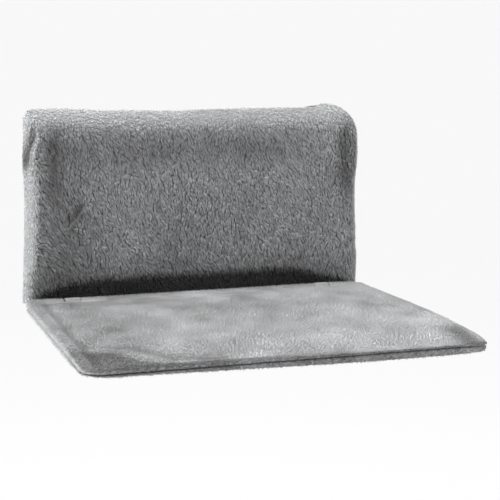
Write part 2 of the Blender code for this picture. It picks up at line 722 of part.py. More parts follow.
def make_knob_mesh():
    """A star grip: a lobed outline, narrower at its foot and rounded over at the top."""
    grip = KNOB_FOOT + KNOB_ROUND / 3
    levels = [(0.0, KNOB_FOOT_SHARE), (KNOB_FOOT, KNOB_FOOT_SHARE), (grip, 0.97),
              (KNOB_FOOT + KNOB_ROUND, 1.0), (KNOB_HEIGHT - KNOB_ROUND, 1.0),
              (KNOB_HEIGHT - KNOB_ROUND / 3, 0.94), (KNOB_HEIGHT, 0.80)]
    steps = KNOB_LOBES * 6
    bm = bmesh.new()
    rings = []
    for z, size in levels:
        ring = []
        for step in range(steps):
            angle = 2.0 * math.pi * step / steps
            lobe = KNOB_LOBE * math.cos(KNOB_LOBES * angle) if z >= grip else 0.0
            radius = (KNOB_R - KNOB_LOBE + lobe) * size
            ring.append(bm.verts.new((radius * math.cos(angle), radius * math.sin(angle), z)))
        rings.append(ring)
    for low, high in zip(rings, rings[1:]):
        for index in range(steps):
            after = (index + 1) % steps
            bm.faces.new((low[index], low[after], high[after], high[index]))
    bm.faces.new(rings[0][::-1])
    bm.faces.new(rings[-1])
    return finish_mesh(bm, "knob", 50.0)


# Hinge
def convex_pair(first, first_r, second, second_r, steps):
    """Outline round two circles, the second one behind the first."""
    dy = second[0] - first[0]
    dz = second[1] - first[1]
    lean = math.degrees(math.atan2(dz, dy))
    spread_angle = math.degrees(math.acos((first_r - second_r) / math.hypot(dy, dz)))
    outline = arc(second, second_r, lean - spread_angle, lean + spread_angle, steps)
    outline += arc(first, first_r, lean + spread_angle, lean + 360.0 - spread_angle, steps)
    return outline


def make_hinge():
    axis = (PIVOT_Y, PIVOT_Z)
    tube = (TUBE_Y, LOW_TUBE_Z)
    half = CHEEK_OUT
    channel = extruded("hinge_bracket", convex_pair(axis, PIVOT_LOBE_R, tube, TUBE_LOBE_R, 10),
                       -half, half, "X")
    web_low = LOW_TUBE_Z + TUBE_R + GAP
    web_front = TUBE_Y - WEB_LENGTH / 2
    past_front = PIVOT_Y - PIVOT_LOBE_R - CUT_PAST
    past_rear = TUBE_Y + TUBE_LOBE_R + CUT_PAST
    past_low = LOW_TUBE_Z - TUBE_LOBE_R - CUT_PAST
    past_high = PIVOT_Z + PIVOT_LOBE_R + CUT_PAST
    inside = [(past_front, past_low), (past_rear, past_low), (past_rear, web_low),
              (web_front, web_low), (web_front, past_high), (past_front, past_high)]
    inside_mesh = extruded("channel_inside", inside,
                           -CHANNEL_INSIDE / 2, CHANNEL_INSIDE / 2, "X")
    above = [(past_front, web_low + WEB), (past_rear, web_low + WEB),
             (past_rear, past_high), (past_front, past_high)]
    above_mesh = extruded("channel_above", above,
                          -CHANNEL_INSIDE / 2, CHANNEL_INSIDE / 2, "X")
    past_cheek = half + CUT_PAST
    tube_bore = extruded("tube_bore", circle(tube, TUBE_R + GAP, 16),
                         -past_cheek, past_cheek, "X")
    pivot_bore = extruded("pivot_bore", circle(axis, BUSH_OUT_R + GAP, 16),
                          -past_cheek, past_cheek, "X")
    cheek_in = CHANNEL_INSIDE / 2 - GAP
    cheek_out = half + GAP
    bush = turned("pivot_bush", [(BUSH_IN_R, cheek_in), (BUSH_OUT_R, cheek_in),
                                 (BUSH_OUT_R, cheek_out), (BUSH_FLANGE_R, cheek_out),
                                 (BUSH_FLANGE_R, cheek_out + BUSH_FLANGE),
                                 (BUSH_IN_R, cheek_out + BUSH_FLANGE)], 16, "X")
    for side_name, sign in SIDES.items():
        place = (sign * HINGE_X, 0.0, 0.0)
        bracket = add_object("hinge_bracket_" + side_name, channel, "frame_paint",
                             location=place)
        cut(bracket,
            add_cutter("cutter_inside_" + side_name, inside_mesh, place),
            add_cutter("cutter_above_" + side_name, above_mesh, place),
            add_cutter("cutter_tube_" + side_name, tube_bore, place),
            add_cutter("cutter_pivot_" + side_name, pivot_bore, place))
        for face, turn in (("a", 0.0), ("b", math.pi)):
            piece = add_object("pivot_bush_%s_%s" % (side_name, face), bush, "nylon",
                               location=(sign * HINGE_X, PIVOT_Y, PIVOT_Z))
            piece.rotation_euler.z = turn


def make_stop_levers(parent):
    """A ring on the rod and a cranked arm that bears on the tube from below."""
    bearing = LOW_TUBE_Z - TUBE_R - GAP - PIVOT_Z
    tail = HINGE_REACH + LEVER_TAIL
    low = bearing - LEVER_THICKNESS
    outline = arc((0.0, 0.0), PIVOT_LOBE_R, -20.0, 235.0, 14)
    outline += [(HINGE_REACH - LEVER_CRANK, low), (tail - LEVER_CHAMFER, low),
                (tail, low + LEVER_CHAMFER), (tail, bearing),
                (HINGE_REACH - LEVER_PAD, bearing)]
    mesh = extruded("stop_lever", outline, -LEVER_WIDTH / 2, LEVER_WIDTH / 2, "X")
    bore = extruded("lever_bore", circle((0.0, 0.0), ROD_R + GAP, 16),
                    -LEVER_WIDTH, LEVER_WIDTH, "X")
    for side_name, sign in SIDES.items():
        place = (sign * HINGE_X, PIVOT_Y, PIVOT_Z)
        lever = add_object("stop_lever_" + side_name, mesh, "frame_paint", parent, place)
        cut(lever, add_cutter("cutter_lever_" + side_name, bore, place))


def make_bumpers():
    """Rubber blocks that snap over the lowest tube and bear on the radiator's face."""
    half = BUMPER_HEIGHT / 2
    outline = rounded_rectangle((TUBE_Y - BUMPER_FRONT, LOW_TUBE_Z - half),
                                (0.0, LOW_TUBE_Z + half), BUMPER_ROUND, 3)
    mesh = extruded("wall_bumper", outline, -BUMPER_WIDTH / 2, BUMPER_WIDTH / 2, "X")
    bore = extruded("clip_bore", circle((TUBE_Y, LOW_TUBE_Z), TUBE_R + GAP, 16),
                    -BUMPER_WIDTH, BUMPER_WIDTH, "X")
    for side_name, sign in SIDES.items():
        place = (sign * BUMPER_X, 0.0, 0.0)
        bumper = add_object("wall_bumper_" + side_name, mesh, "rubber", location=place)
        cut(bumper, add_cutter("cutter_clip_" + side_name, bore, place))


# Platform
def platform_loop():
    """Path of the rod: wide bends in front, tighter ones at the rear run."""
    front_bend = PLATFORM_CORNER - EDGE_TO_ROD
    front = ROD_FRONT + front_bend
    rear = PIVOT_Y - REAR_BEND
    points = arc((ROD_X - front_bend, front), front_bend, -90.0, 0.0, 6)
    points += arc((ROD_X - REAR_BEND, rear), REAR_BEND, 0.0, 90.0, 5)
    points += arc((-ROD_X + REAR_BEND, rear), REAR_BEND, 90.0, 180.0, 5)
    points += arc((-ROD_X + front_bend, front), front_bend, 180.0, 270.0, 6)
    return [(x, y, PIVOT_Z) for x, y in points]


def make_platform_frame(parent):
    curve = bent_loop("platform_frame", platform_loop(), ROD_R)
    add_object("platform_frame", curve, "frame_paint", parent)
    half = ROD_X - ROD_R - GAP
    wire = extruded("platform_wire", circle((0.0, 0.0), PLATFORM_WIRE_R, 8),
                    -half, half, "X")
    for index in range(PLATFORM_WIRES):
        y = WIRE_FIRST + (WIRE_LAST - WIRE_FIRST) * index / (PLATFORM_WIRES - 1)
        add_object("platform_wire_%d" % (index + 1), wire, "frame_paint", parent,
                   (0.0, y, PLATFORM_WIRE_Z))
    half = ROD_X - ROD_R - BOARD_ROOM
    outline = rounded_rectangle((-half, ROD_FRONT + ROD_R + BOARD_ROOM),
                                (half, PIVOT_Y - ROD_R - BOARD_ROOM - BOARD_SHORT),
                                PLATFORM_CORNER - EDGE_TO_ROD - ROD_R, 5)
    mesh = extruded("platform_board", outline, BOARD_Z, BOARD_Z + BOARD, "Z")
    add_object("platform_board", mesh, "board", parent)
    half = PLATFORM_HALF_WIDTH - FOAM_INSET
    outline = rounded_rectangle((-half, PLATFORM_FRONT + FOAM_INSET),
                                (half, PLATFORM_REAR - FOAM_INSET), FOAM_CORNER, 5)
    bottom = BOARD_Z + BOARD + GAP
    mesh = extruded("platform_foam", outline, bottom, bottom + FOAM, "Z")
    add_object("platform_foam", mesh, "foam", parent)


def lip_profile():
    """Round the rolled edge of one plush panel, from the seam to its flat part."""
    points = []
    for angle in (LIP_START, -30.0, 0.0, 30.0, 60.0, 90.0):
        a = math.radians(angle)
        points.append((1.0 - math.cos(a), (1.0 + math.sin(a)) / 2.0))
    return points


def crown(x, y):
    """The top panel rises over the foam, and sinks to its rim all round."""
    across = x / PLATFORM_HALF_WIDTH
    along = 2.0 * (y - PLATFORM_REAR) / (PLATFORM_FRONT - PLATFORM_REAR) - 1.0
    return CROWN * (1.0 - min(abs(across), 1.0) ** 6) * (1.0 - min(abs(along), 1.0) ** 6)


def rear_wrap(up):
    """Section of a panel from its open rear edge over the rod to the seam behind it."""
    outside = PANEL_HEIGHT - WRAP_STEP
    inside = ROD_R + GAP
    section = arc((0.0, 0.0), outside, 0.0, 90.0, 6)
    section += [(PLATFORM_REAR - WRAP_LAP - PIVOT_Y, outside),
                (PLATFORM_REAR - WRAP_LAP - PIVOT_Y, inside)]
    section += arc((0.0, 0.0), inside, 90.0, 0.0, 6)
    return [(PIVOT_Y + y, PIVOT_Z + up * (z + SEAM_GAP / 2)) for y, z in section]


PLATFORM_COLUMNS = (-1.0, -0.93, -0.75, -0.40, 0.0, 0.40, 0.75, 0.93, 1.0)
PLATFORM_ROWS = (0.0, 0.05, 0.14, 0.32, 0.55, 0.78, 0.92, 1.0)


def make_platform_covers(parent):
    outline = Outline(lambda height: PLATFORM_HALF_WIDTH, PLATFORM_REAR,
                      lambda x: PLATFORM_FRONT, PLATFORM_CORNER, LIP_R, LIP_R)
    column_list = columns(PLATFORM_COLUMNS)
    row_list = rows(PLATFORM_ROWS)
    profile = lip_profile()

    def top(flat, share):
        height = (PANEL_HEIGHT + crown(flat.x, flat.y)) * share
        return flat.x, flat.y, PIVOT_Z + SEAM_GAP / 2 + height

    def bottom(flat, share):
        return flat.x, flat.y, PIVOT_Z - SEAM_GAP / 2 - PANEL_HEIGHT * share

    over = sleeve_panel("platform_cover_top", outline, column_list, row_list, profile, top,
                        PLUSH, "platform_plush", parent, flip=True)
    under = sleeve_panel("platform_cover_bottom", outline, column_list, row_list, profile,
                         bottom, PLUSH, "platform_plush", parent)
    for panel, up in ((over, 1.0), (under, -1.0)):
        wrap = extruded(panel.name + "_wrap", rear_wrap(up),
                        -WRAP_HALF_WIDTH, WRAP_HALF_WIDTH, "X")
        fuse(panel, add_cutter(panel.name + "_wrap", wrap))
    slot = block("zip_slot", (-ZIP_HALF_LENGTH, ZIP_Y - ZIP_SLOT / 2, UNDERSIDE - CUT_PAST),
                 (ZIP_HALF_LENGTH, ZIP_Y + ZIP_SLOT / 2, PIVOT_Z - SEAM_GAP))
    cut(under, add_cutter("cutter_zip_slot", slot))


# Zip
def make_zip(parent):
    half = ZIP_HALF_LENGTH + TAPE_OVERLAP
    outline = rounded_rectangle((-half, ZIP_Y - TAPE_WIDTH / 2),
                                (half, ZIP_Y + TAPE_WIDTH / 2), TAPE_CORNER, 2)
    add_object("zip_tape", extruded("zip_tape", outline, TAPE_Z, TAPE_Z + TAPE, "Z"),
               "zip_tape", parent)
    half = ZIP_HALF_LENGTH - CHAIN_SHORT
    edge = CHAIN_WIDTH / 2
    crest = CHAIN_WIDTH / 4
    section = [(-edge, CHAIN), (-edge, COIL_BEVEL), (-crest, 0.0), (0.0, COIL_GROOVE),
               (crest, 0.0), (edge, COIL_BEVEL), (edge, CHAIN)]
    add_object("zip_chain", extruded("zip_chain", section, -half, half, "X"),
               "zip_nylon", parent, (0.0, ZIP_Y, CHAIN_Z))

    slide = pivot("zip_slide", (SLIDER_X, ZIP_Y, SLIDER_Z), parent)
    inner = CHAIN_WIDTH / 2 + RUNNING_GAP
    outer = inner + SLIDER_WALL
    top = CHAIN_Z + CHAIN - GAP
    channel = [(-outer, top), (-outer, SLIDER_Z), (outer, SLIDER_Z), (outer, top),
               (inner, top), (inner, SLIDER_Z + SLIDER_PLATE),
               (-inner, SLIDER_Z + SLIDER_PLATE), (-inner, top)]
    half = SLIDER_LENGTH / 2
    body = extruded("zip_slider", channel, -half, half, "X")
    slider = add_object("zip_slider", body, "zinc", slide, (SLIDER_X, ZIP_Y, 0.0))
    ear_in = PULLER_THICKNESS / 2 + RUNNING_GAP
    ear_low = PULLER_Z - PIN_R - EAR
    ear_high = SLIDER_Z + SLIDER_PLATE / 2
    ear = [(-EAR_FOOT_WIDTH / 2, ear_high), (-EAR_WIDTH / 2, PULLER_Z),
           (-EAR_TIP_WIDTH / 2, ear_low), (EAR_TIP_WIDTH / 2, ear_low),
           (EAR_WIDTH / 2, PULLER_Z), (EAR_FOOT_WIDTH / 2, ear_high)]
    for name, low in (("front", -ear_in - EAR), ("rear", ear_in)):
        cheek = extruded("slider_ear", ear, low, low + EAR, "Y")
        fuse(slider, add_cutter("slider_ear_" + name, cheek, (SLIDER_X, ZIP_Y, 0.0)))
    reach = ear_in + EAR / 2
    pin = extruded("slider_pin", circle((0.0, PULLER_Z), PIN_R, 8), -reach, reach, "Y")
    fuse(slider, add_cutter("slider_pin", pin, (SLIDER_X, ZIP_Y, 0.0)))

    swing = pivot("puller_swing", (SLIDER_X, ZIP_Y, PULLER_Z), slide)
    neck = PULLER_NECK_WIDTH / 2
    wide = PULLER_WIDTH / 2
    corner_x = wide - PULLER_CORNER
    corner_z = -PULLER_LENGTH + PULLER_CORNER
    tab = arc((0.0, 0.0), PULLER_LOBE_R, -45.0, 225.0, 10)
    tab += [(-neck, -PULLER_NECK_END), (-wide, -PULLER_SHOULDER)]
    tab += arc((-corner_x, corner_z), PULLER_CORNER, 180.0, 270.0, 3)
    tab += arc((corner_x, corner_z), PULLER_CORNER, 270.0, 360.0, 3)
    tab += [(wide, -PULLER_SHOULDER), (neck, -PULLER_NECK_END)]
    half = PULLER_THICKNESS / 2
    mesh = extruded("zip_puller", tab, -half, half, "Y")
    puller = add_object("zip_puller", mesh, "zinc", swing, (SLIDER_X, ZIP_Y, PULLER_Z))
    bore = extruded("puller_bore", circle((0.0, 0.0), PIN_R + GAP, 8),
                    -PULLER_THICKNESS, PULLER_THICKNESS, "Y")
    cut(puller, add_cutter("cutter_puller", bore, (SLIDER_X, ZIP_Y, PULLER_Z)))


def main():
    for obj in list(bpy.data.objects):
        bpy.data.objects.remove(obj)
    make_back_frame()
    make_back_foam()
    make_back_cover()
    make_hook_brackets()
    make_hooks()
    make_hinge()
    make_bumpers()
    platform = pivot("platform_fold", (0.0, PIVOT_Y, PIVOT_Z))
    make_platform_frame(platform)
    make_stop_levers(platform)
    make_platform_covers(platform)
    make_zip(platform)


if __name__ == "__main__":
    main()
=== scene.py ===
import json
import math

import bmesh
import bpy
import numpy as np
from mathutils import Matrix, Vector, bvhtree, kdtree


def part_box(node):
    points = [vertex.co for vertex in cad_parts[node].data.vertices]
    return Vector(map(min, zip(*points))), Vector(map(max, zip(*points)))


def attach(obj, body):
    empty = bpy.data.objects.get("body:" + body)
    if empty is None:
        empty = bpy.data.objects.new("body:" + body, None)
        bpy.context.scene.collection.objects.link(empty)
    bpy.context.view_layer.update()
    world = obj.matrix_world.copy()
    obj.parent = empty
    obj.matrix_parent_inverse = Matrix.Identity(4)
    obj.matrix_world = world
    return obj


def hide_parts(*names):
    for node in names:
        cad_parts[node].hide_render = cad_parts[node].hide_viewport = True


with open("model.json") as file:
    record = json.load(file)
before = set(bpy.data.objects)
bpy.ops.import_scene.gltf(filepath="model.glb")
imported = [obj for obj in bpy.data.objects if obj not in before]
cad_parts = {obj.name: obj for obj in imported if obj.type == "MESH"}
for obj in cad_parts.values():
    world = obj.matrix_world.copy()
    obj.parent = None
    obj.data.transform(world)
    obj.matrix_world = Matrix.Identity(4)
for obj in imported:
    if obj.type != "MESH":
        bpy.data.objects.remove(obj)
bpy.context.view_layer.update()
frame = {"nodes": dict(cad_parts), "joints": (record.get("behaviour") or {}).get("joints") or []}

bl_info = {
    "name": "Radiator Bed Dressing",
    "version": (1, 0, 0),
    "blender": (4, 5, 0),
    "location": "3D Viewport > Sidebar > Radiator Bed",
    "description": "Dresses the frame of a padded radiator bed in plush, foam and metal finishes",
    "category": "Object",
}

HINGE_AXIS = next(joint["pos_m"] for joint in frame["joints"] if joint["name"] == "platform_fold")


# Settings
def length_setting(label, meaning, value):
    return bpy.props.FloatProperty(name=label, description=meaning, default=value, unit="LENGTH")


def count_setting(label, meaning, value):
    return bpy.props.IntProperty(name=label, description=meaning, default=value)


def color_setting(label, meaning, value):
    return bpy.props.FloatVectorProperty(
        name=label, description=meaning, default=value, subtype="COLOR")


class BackSettings(bpy.types.PropertyGroup):
    cell: length_setting("Cell", "Width of one face of the sheet before it is subdivided", 0.0045)
    pile_height: length_setting("Pile height", "Depth that the pile takes up inside the cover", 0.0030)
    backing: length_setting("Backing", "Thickness of the backing and the base of its pile", 0.0012)
    left_corner: length_setting("Left corner", "Radius of the upper left corner", 0.0225)
    right_corner: length_setting("Right corner", "Radius of the puffed upper right corner", 0.042)
    roll_crest: length_setting("Roll crest", "Middle of each side roll, from the centre", 0.1985)
    roll_valley: length_setting("Roll valley", "Foot of each side roll, from the centre", 0.172)
    tuft_count: count_setting("Tufts", "Tufts of pile on the back", 88000)
    tuft_length: length_setting("Tuft length", "Length of a tuft of the back's pile", 0.0072)
    tuft_width: length_setting("Tuft width", "Width of a tuft at its root", 0.0013)


class PlatformSettings(bpy.types.PropertyGroup):
    cell: length_setting("Cell", "Width of one face of the sheet before it is subdivided", 0.0050)
    pile_height: length_setting("Pile height", "Depth that the pile takes up inside the cover", 0.0014)
    backing: length_setting("Backing", "Thickness of the backing and the base of its pile", 0.0008)
    left_corner: length_setting("Left corner", "Radius of the front left corner", 0.025)
    right_corner: length_setting("Right corner", "Radius of the front right corner", 0.015)
    tuft_count: count_setting("Tufts", "Tufts of pile on the platform's top", 68000)
    under_count: count_setting("Tufts below", "Tufts of pile on the platform's underside", 19000)
    tuft_length: length_setting("Tuft length", "Length of a tuft of the platform's pile", 0.0034)
    tuft_width: length_setting("Tuft width", "Width of a tuft at its root", 0.0011)


class ColorSettings(bpy.types.PropertyGroup):
    pile_tip: color_setting("Pile tip", "Colour of the plush at the pile's tips", (0.83, 0.835, 0.845))
    # The root colour is dark as painted shade deep in the pile
    pile_root_shaded: color_setting("Pile root", "Colour of the plush at its backing", (0.15, 0.152, 0.158))
    lining: color_setting("Lining", "Colour of the woven lining behind the back", (0.16, 0.16, 0.168))
    foam: color_setting("Foam", "Colour of the foam", (0.75, 0.73, 0.66))
    paint: color_setting("Paint", "Colour of the painted frames", (0.075, 0.077, 0.080))
    board: color_setting("Board", "Colour of the hardboard", (0.42, 0.28, 0.16))


class StageSettings(bpy.types.PropertyGroup):
    camera_place: bpy.props.FloatVectorProperty(
        name="Camera place", description="Where the camera stands", default=(-0.4955, -1.7727, 0.1365),
        subtype="TRANSLATION")
    camera_turn: bpy.props.FloatProperty(
        name="Camera turn", description="How far the camera looks to the right of straight ahead",
        default=math.radians(18.07), unit="ROTATION")
    camera_drop: bpy.props.FloatProperty(
        name="Camera drop", description="How far the camera looks down",
        default=math.radians(9.36), unit="ROTATION")
    lens: bpy.props.FloatProperty(
        name="Lens", description="Focal length for a 36 mm wide sensor, in millimetres", default=100.1)
    floor_drop: length_setting("Floor drop", "The floor lies this far below the radiator's top", 1.05)


class BedSettings(bpy.types.PropertyGroup):
    back: bpy.props.PointerProperty(type=BackSettings, name="Back", description="Sizes of the back")
    platform: bpy.props.PointerProperty(
        type=PlatformSettings, name="Platform", description="Sizes of the platform")
    colors: bpy.props.PointerProperty(
        type=ColorSettings, name="Colours", description="Colours of the finishes")
    stage: bpy.props.PointerProperty(
        type=StageSettings, name="Stage", description="Camera and floor")


def settings():
    return bpy.context.scene.radiator_bed


# Shader maths
class Value:
    """A shader socket that can be used in arithmetic."""

    def __init__(self, tree, socket):
        self.tree = tree
        self.socket = socket

    def combine(self, operation, first, second):
        node = self.tree.nodes.new("ShaderNodeMath")
        node.operation = operation
        for slot, item in zip(node.inputs, (first, second)):
            if isinstance(item, Value):
                self.tree.links.new(item.socket, slot)
            else:
                slot.default_value = item
        return Value(self.tree, node.outputs[0])

    def __add__(self, other):
        return self.combine("ADD", self, other)

    def __radd__(self, other):
        return self.combine("ADD", other, self)

    def __mul__(self, other):
        return self.combine("MULTIPLY", self, other)

    def __rmul__(self, other):
        return self.combine("MULTIPLY", other, self)


class Finish:
    """A material under construction. One method adds any kind of node."""

    def __init__(self, name):
        self.material = bpy.data.materials.new(name)
        self.material.use_nodes = True
        self.tree = self.material.node_tree
        self.shader = self.tree.nodes["Principled BSDF"]

    def link(self, item, slot):
        if isinstance(item, Value):
            self.tree.links.new(item.socket, slot)
        elif isinstance(item, tuple) and len(item) == 3 and len(slot.default_value) == 4:
            slot.default_value = (*item, 1.0)
        else:
            slot.default_value = item

    def node(self, kind, setup=None, inputs=None, output=0):
        """Add a node, set its own settings first, then its sockets; gives one output."""
        made = self.tree.nodes.new("ShaderNode" + kind)
        for key, value in (setup or {}).items():
            setattr(made, key, value)
        for key, item in (inputs or {}).items():
            self.link(item, made.inputs[key])
        return Value(self.tree, made.outputs[output])

    def here(self):
        return self.node("TexCoord", output="Object")

    def attribute(self, name):
        return self.node("Attribute", {"attribute_name": name}, output="Fac")

    def stretched(self, scale, turn=(0.0, 0.0, 0.0)):
        return self.node("Mapping", None, {"Vector": self.here(), "Scale": scale, "Rotation": turn})

    def noise(self, scale, detail, roughness=0.5, vector=None):
        return self.node("TexNoise", None, {"Vector": vector or self.here(), "Scale": scale,
                                            "Detail": detail, "Roughness": roughness})

    def mix(self, share, first, second):
        return self.node("Mix", {"data_type": "RGBA"}, {0: share, 6: first, 7: second}, output=2)

    def scaled(self, color, share):
        """A colour made darker or brighter."""
        return self.node("VectorMath", {"operation": "SCALE"}, {0: color, "Scale": share})

    def levels(self, value, low, high, out_low=0.0, out_high=1.0):
        """Stretch a range of values and clamp it."""
        return self.node("MapRange", None, {"Value": value, 1: low, 2: high, 3: out_low, 4: out_high})

    def bump(self, height, strength, distance):
        return self.node("Bump", None, {"Height": height, "Strength": strength, "Distance": distance})

    def done(self, **sockets):
        """Set or link the shader's sockets, named with underscores for spaces."""
        for name, item in sockets.items():
            self.link(item, self.shader.inputs[name.replace("_", " ")])
        return self.material


def shaded(color, share):
    return tuple(share * part for part in color)


def plush_shade(finish, share):
    """The plush's colour at a share of the way from the root of its pile, dark with painted shade, to
    the tip.
    """
    colors = settings().colors
    return finish.mix(share, tuple(colors.pile_root_shaded), tuple(colors.pile_tip))


def plush_pile(name):
    """Pile: darkened towards the root with painted shade and light at the tip, scaled by a tone that
    holds brushed patches and painted light and shade.
    """
    finish = Finish(name)
    shade = plush_shade(finish, finish.attribute("along"))
    grain = finish.levels(finish.noise(900.0, 2.0), 0.3, 0.7, 0.86, 1.12)
    color = finish.scaled(shade, finish.attribute("tone") * grain)
    return finish.done(Base_Color=color, Roughness=0.92, Sheen_Weight=0.20, Sheen_Roughness=0.5,
                       Specular_IOR_Level=0.15)


def plush_base(name):
    """The dense base of the pile, seen between the tufts, dark towards the root colour with painted
    shade.
    """
    finish = Finish(name)
    grain = finish.noise(700.0, 3.0, 0.6)
    share = finish.attribute("pale") + finish.levels(grain, 0.3, 0.7, -0.06, 0.06)
    color = finish.scaled(plush_shade(finish, share), finish.attribute("tone"))
    return finish.done(Base_Color=color, Roughness=0.95, Sheen_Weight=0.25, Specular_IOR_Level=0.1,
                       Normal=finish.bump(grain, 0.6, 0.001))


def woven(name, color, pitch):
    """Plain weave: threads along X and Z that pass over and under each other, with painted shade where
    they dip under and worn patches.
    """
    finish = Finish(name)
    across = finish.node("SeparateXYZ", None, {0: finish.here()})
    up = Value(finish.tree, across.socket.node.outputs["Z"])
    turns = 2.0 * math.pi / pitch
    warp, weft = [finish.node("Math", {"operation": "SINE"}, {0: way * turns}) for way in (across, up)]
    height = warp * weft * 0.5 + 0.5
    worn = finish.levels(finish.noise(25.0, 4.0), 0.3, 0.7, 0.85, 1.12)
    # Painted shade where the threads dip, times worn patches
    shade = finish.levels(height, 0.0, 1.0, 0.75, 1.1) * worn
    return finish.done(Base_Color=finish.scaled(color, shade), Roughness=0.88, Sheen_Weight=0.15,
                       Specular_IOR_Level=0.2, Normal=finish.bump(height, 0.5, pitch * 0.3))


def foam_finish(name, color):
    """Open-cell foam: painted shade in its small pores, and a little yellowing."""
    finish = Finish(name)
    cells = finish.node("TexVoronoi", None, {"Vector": finish.here(), "Scale": 700.0})
    pores = finish.levels(cells, 0.1, 0.6)
    aged = finish.levels(finish.noise(20.0, 3.0), 0.35, 0.65)
    warm = (color[0], color[1] * 0.95, color[2] * 0.82)
    shade = finish.mix(pores, shaded(color, 0.6), finish.mix(aged, color, warm))
    return finish.done(Base_Color=shade, Roughness=0.95, Specular_IOR_Level=0.1,
                       Normal=finish.bump(pores, 0.5, 0.0006))


def painted(name, color):
    """Powder coat: an even colour with a fine orange-peel surface."""
    finish = Finish(name)
    peel = finish.noise(420.0, 2.0)
    rub = finish.levels(finish.noise(45.0, 4.0), 0.3, 0.75)
    return finish.done(Base_Color=finish.mix(rub, shaded(color, 0.86), color),
                       Roughness=finish.levels(rub, 0.0, 1.0, 0.42, 0.52),
                       Coat_Weight=0.15, Coat_Roughness=0.3, Normal=finish.bump(peel, 0.15, 0.0004))


def plated(name, color):
    """Zinc plate: faint drawn lines and cloudy passivated patches."""
    finish = Finish(name)
    cloud = finish.levels(finish.noise(70.0, 4.0), 0.3, 0.7)
    lines = finish.noise(500.0, 3.0, 0.6, finish.stretched((0.05, 1.0, 1.0)))
    shade = finish.mix(cloud, shaded(color, 0.74), shaded(color, 1.1))
    return finish.done(Base_Color=shade, Metallic=1.0, Normal=finish.bump(lines, 0.12, 0.0002),
                       Roughness=finish.levels(lines, 0.3, 0.7, 0.26, 0.42))


def moulded(name, color, roughness, grain):
    """Moulded rubber or plastic with a fine spark-eroded grain."""
    finish = Finish(name)
    spark = finish.noise(grain, 3.0, 0.6)
    dust = finish.levels(finish.noise(60.0, 4.0), 0.45, 0.8, 0.0, 0.35)
    dusty = tuple(part + 0.05 for part in color)
    return finish.done(Base_Color=finish.mix(dust, color, dusty),
                       Roughness=finish.levels(spark, 0.3, 0.7, roughness - 0.08, roughness + 0.08),
                       Normal=finish.bump(spark, 0.25, 0.0002))


def hardboard(name, color):
    """Pressed fibres: short flecks laid in all directions."""
    finish = Finish(name)
    flecks = finish.noise(600.0, 5.0, 0.7, finish.stretched((0.25, 1.0, 1.0), (0.0, 0.0, 0.5)))
    crossing = finish.noise(500.0, 5.0, 0.7, finish.stretched((1.0, 0.3, 1.0), (0.0, 0.0, 0.2)))
    share = finish.levels(flecks * 0.5 + crossing * 0.5, 0.35, 0.65)
    return finish.done(Base_Color=finish.mix(share, shaded(color, 0.55), color), Roughness=0.7,
                       Normal=finish.bump(share, 0.2, 0.0003))


# Meshes
SAME_PLACE = 0.00001               # points nearer than this are merged
SHARP_DEGREES = 40.0               # edges that bend more than this stay sharp


def new_object(name, data):
    made = bpy.data.objects.new(name, data)
    bpy.context.scene.collection.objects.link(made)
    return made


def add_piece(name, mesh, body, finish):
    piece = new_object(name, mesh)
    mesh.materials.append(finish)
    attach(piece, body)
    return piece


def mesh_from(bm, name, sharp_degrees=None):
    """Turn a bmesh into a mesh whose points and faces are numbered by place, the same in every run."""
    bm.verts.index_update()
    places = np.array([vert.co[:] for vert in bm.verts])
    order = np.lexsort(np.round(places, 6).T)
    rank = np.argsort(order)
    faces = []
    for face in bm.faces:
        corners = [int(rank[vert.index]) for vert in face.verts]
        first = corners.index(min(corners))
        faces.append(corners[first:] + corners[:first])
    bm.free()
    mesh = bpy.data.meshes.new(name)
    mesh.from_pydata(places[order], [], sorted(faces))
    mesh.shade_smooth()
    if sharp_degrees:
        mesh.set_sharp_from_angle(angle=math.radians(sharp_degrees))
    return mesh


def applied(piece):
    """Bake a piece's modifiers into its mesh."""
    graph = bpy.context.evaluated_depsgraph_get()
    mesh = bpy.data.meshes.new_from_object(piece.evaluated_get(graph))
    piece.modifiers.clear()
    piece.data = mesh


def points_of(mesh):
    places = np.empty(len(mesh.vertices) * 3)
    mesh.vertices.foreach_get("co", places)
    return places.reshape(-1, 3)


def normals_of(mesh):
    normals = np.empty(len(mesh.vertices) * 3, dtype=np.float32)
    mesh.vertex_normals.foreach_get("vector", normals)
    return normals.reshape(-1, 3).astype(float)


def move_points(mesh, places):
    mesh.vertices.foreach_set("co", places.astype(np.float32).ravel())
    mesh.update()


def add_values(mesh, label, values):
    """Store one number for each point, which a finish reads by its label."""
    attribute = mesh.attributes.new(label, "FLOAT", "POINT")
    attribute.data.foreach_set("value", values.astype(np.float32))


def outwards(mesh, way):
    """Turn a mesh's faces so that most of them look a given way."""
    total = Vector()
    for face in mesh.polygons:
        total += face.normal * face.area
    if total.dot(way) < 0.0:
        mesh.flip_normals()
        mesh.update()


# Smooth functions of a place
def smoothstep(low, high, value):
    share = np.clip((value - low) / (high - low), 0.0, 1.0)
    return share * share * (3.0 - 2.0 * share)


def between(start, full, fading, end, value):
    """Rises from 0 to 1 between the first two values and falls to 0 between the last two."""
    return smoothstep(start, full, value) * (1.0 - smoothstep(fading, end, value))


def hump(value, middle, width):
    return np.exp(-((value - middle) / width) ** 2)


def spot(across, up, middle, size):
    """An oval that is 1 in its middle and fades outwards."""
    return np.exp(-((across - middle[0]) / size[0]) ** 2 - ((up - middle[1]) / size[1]) ** 2)


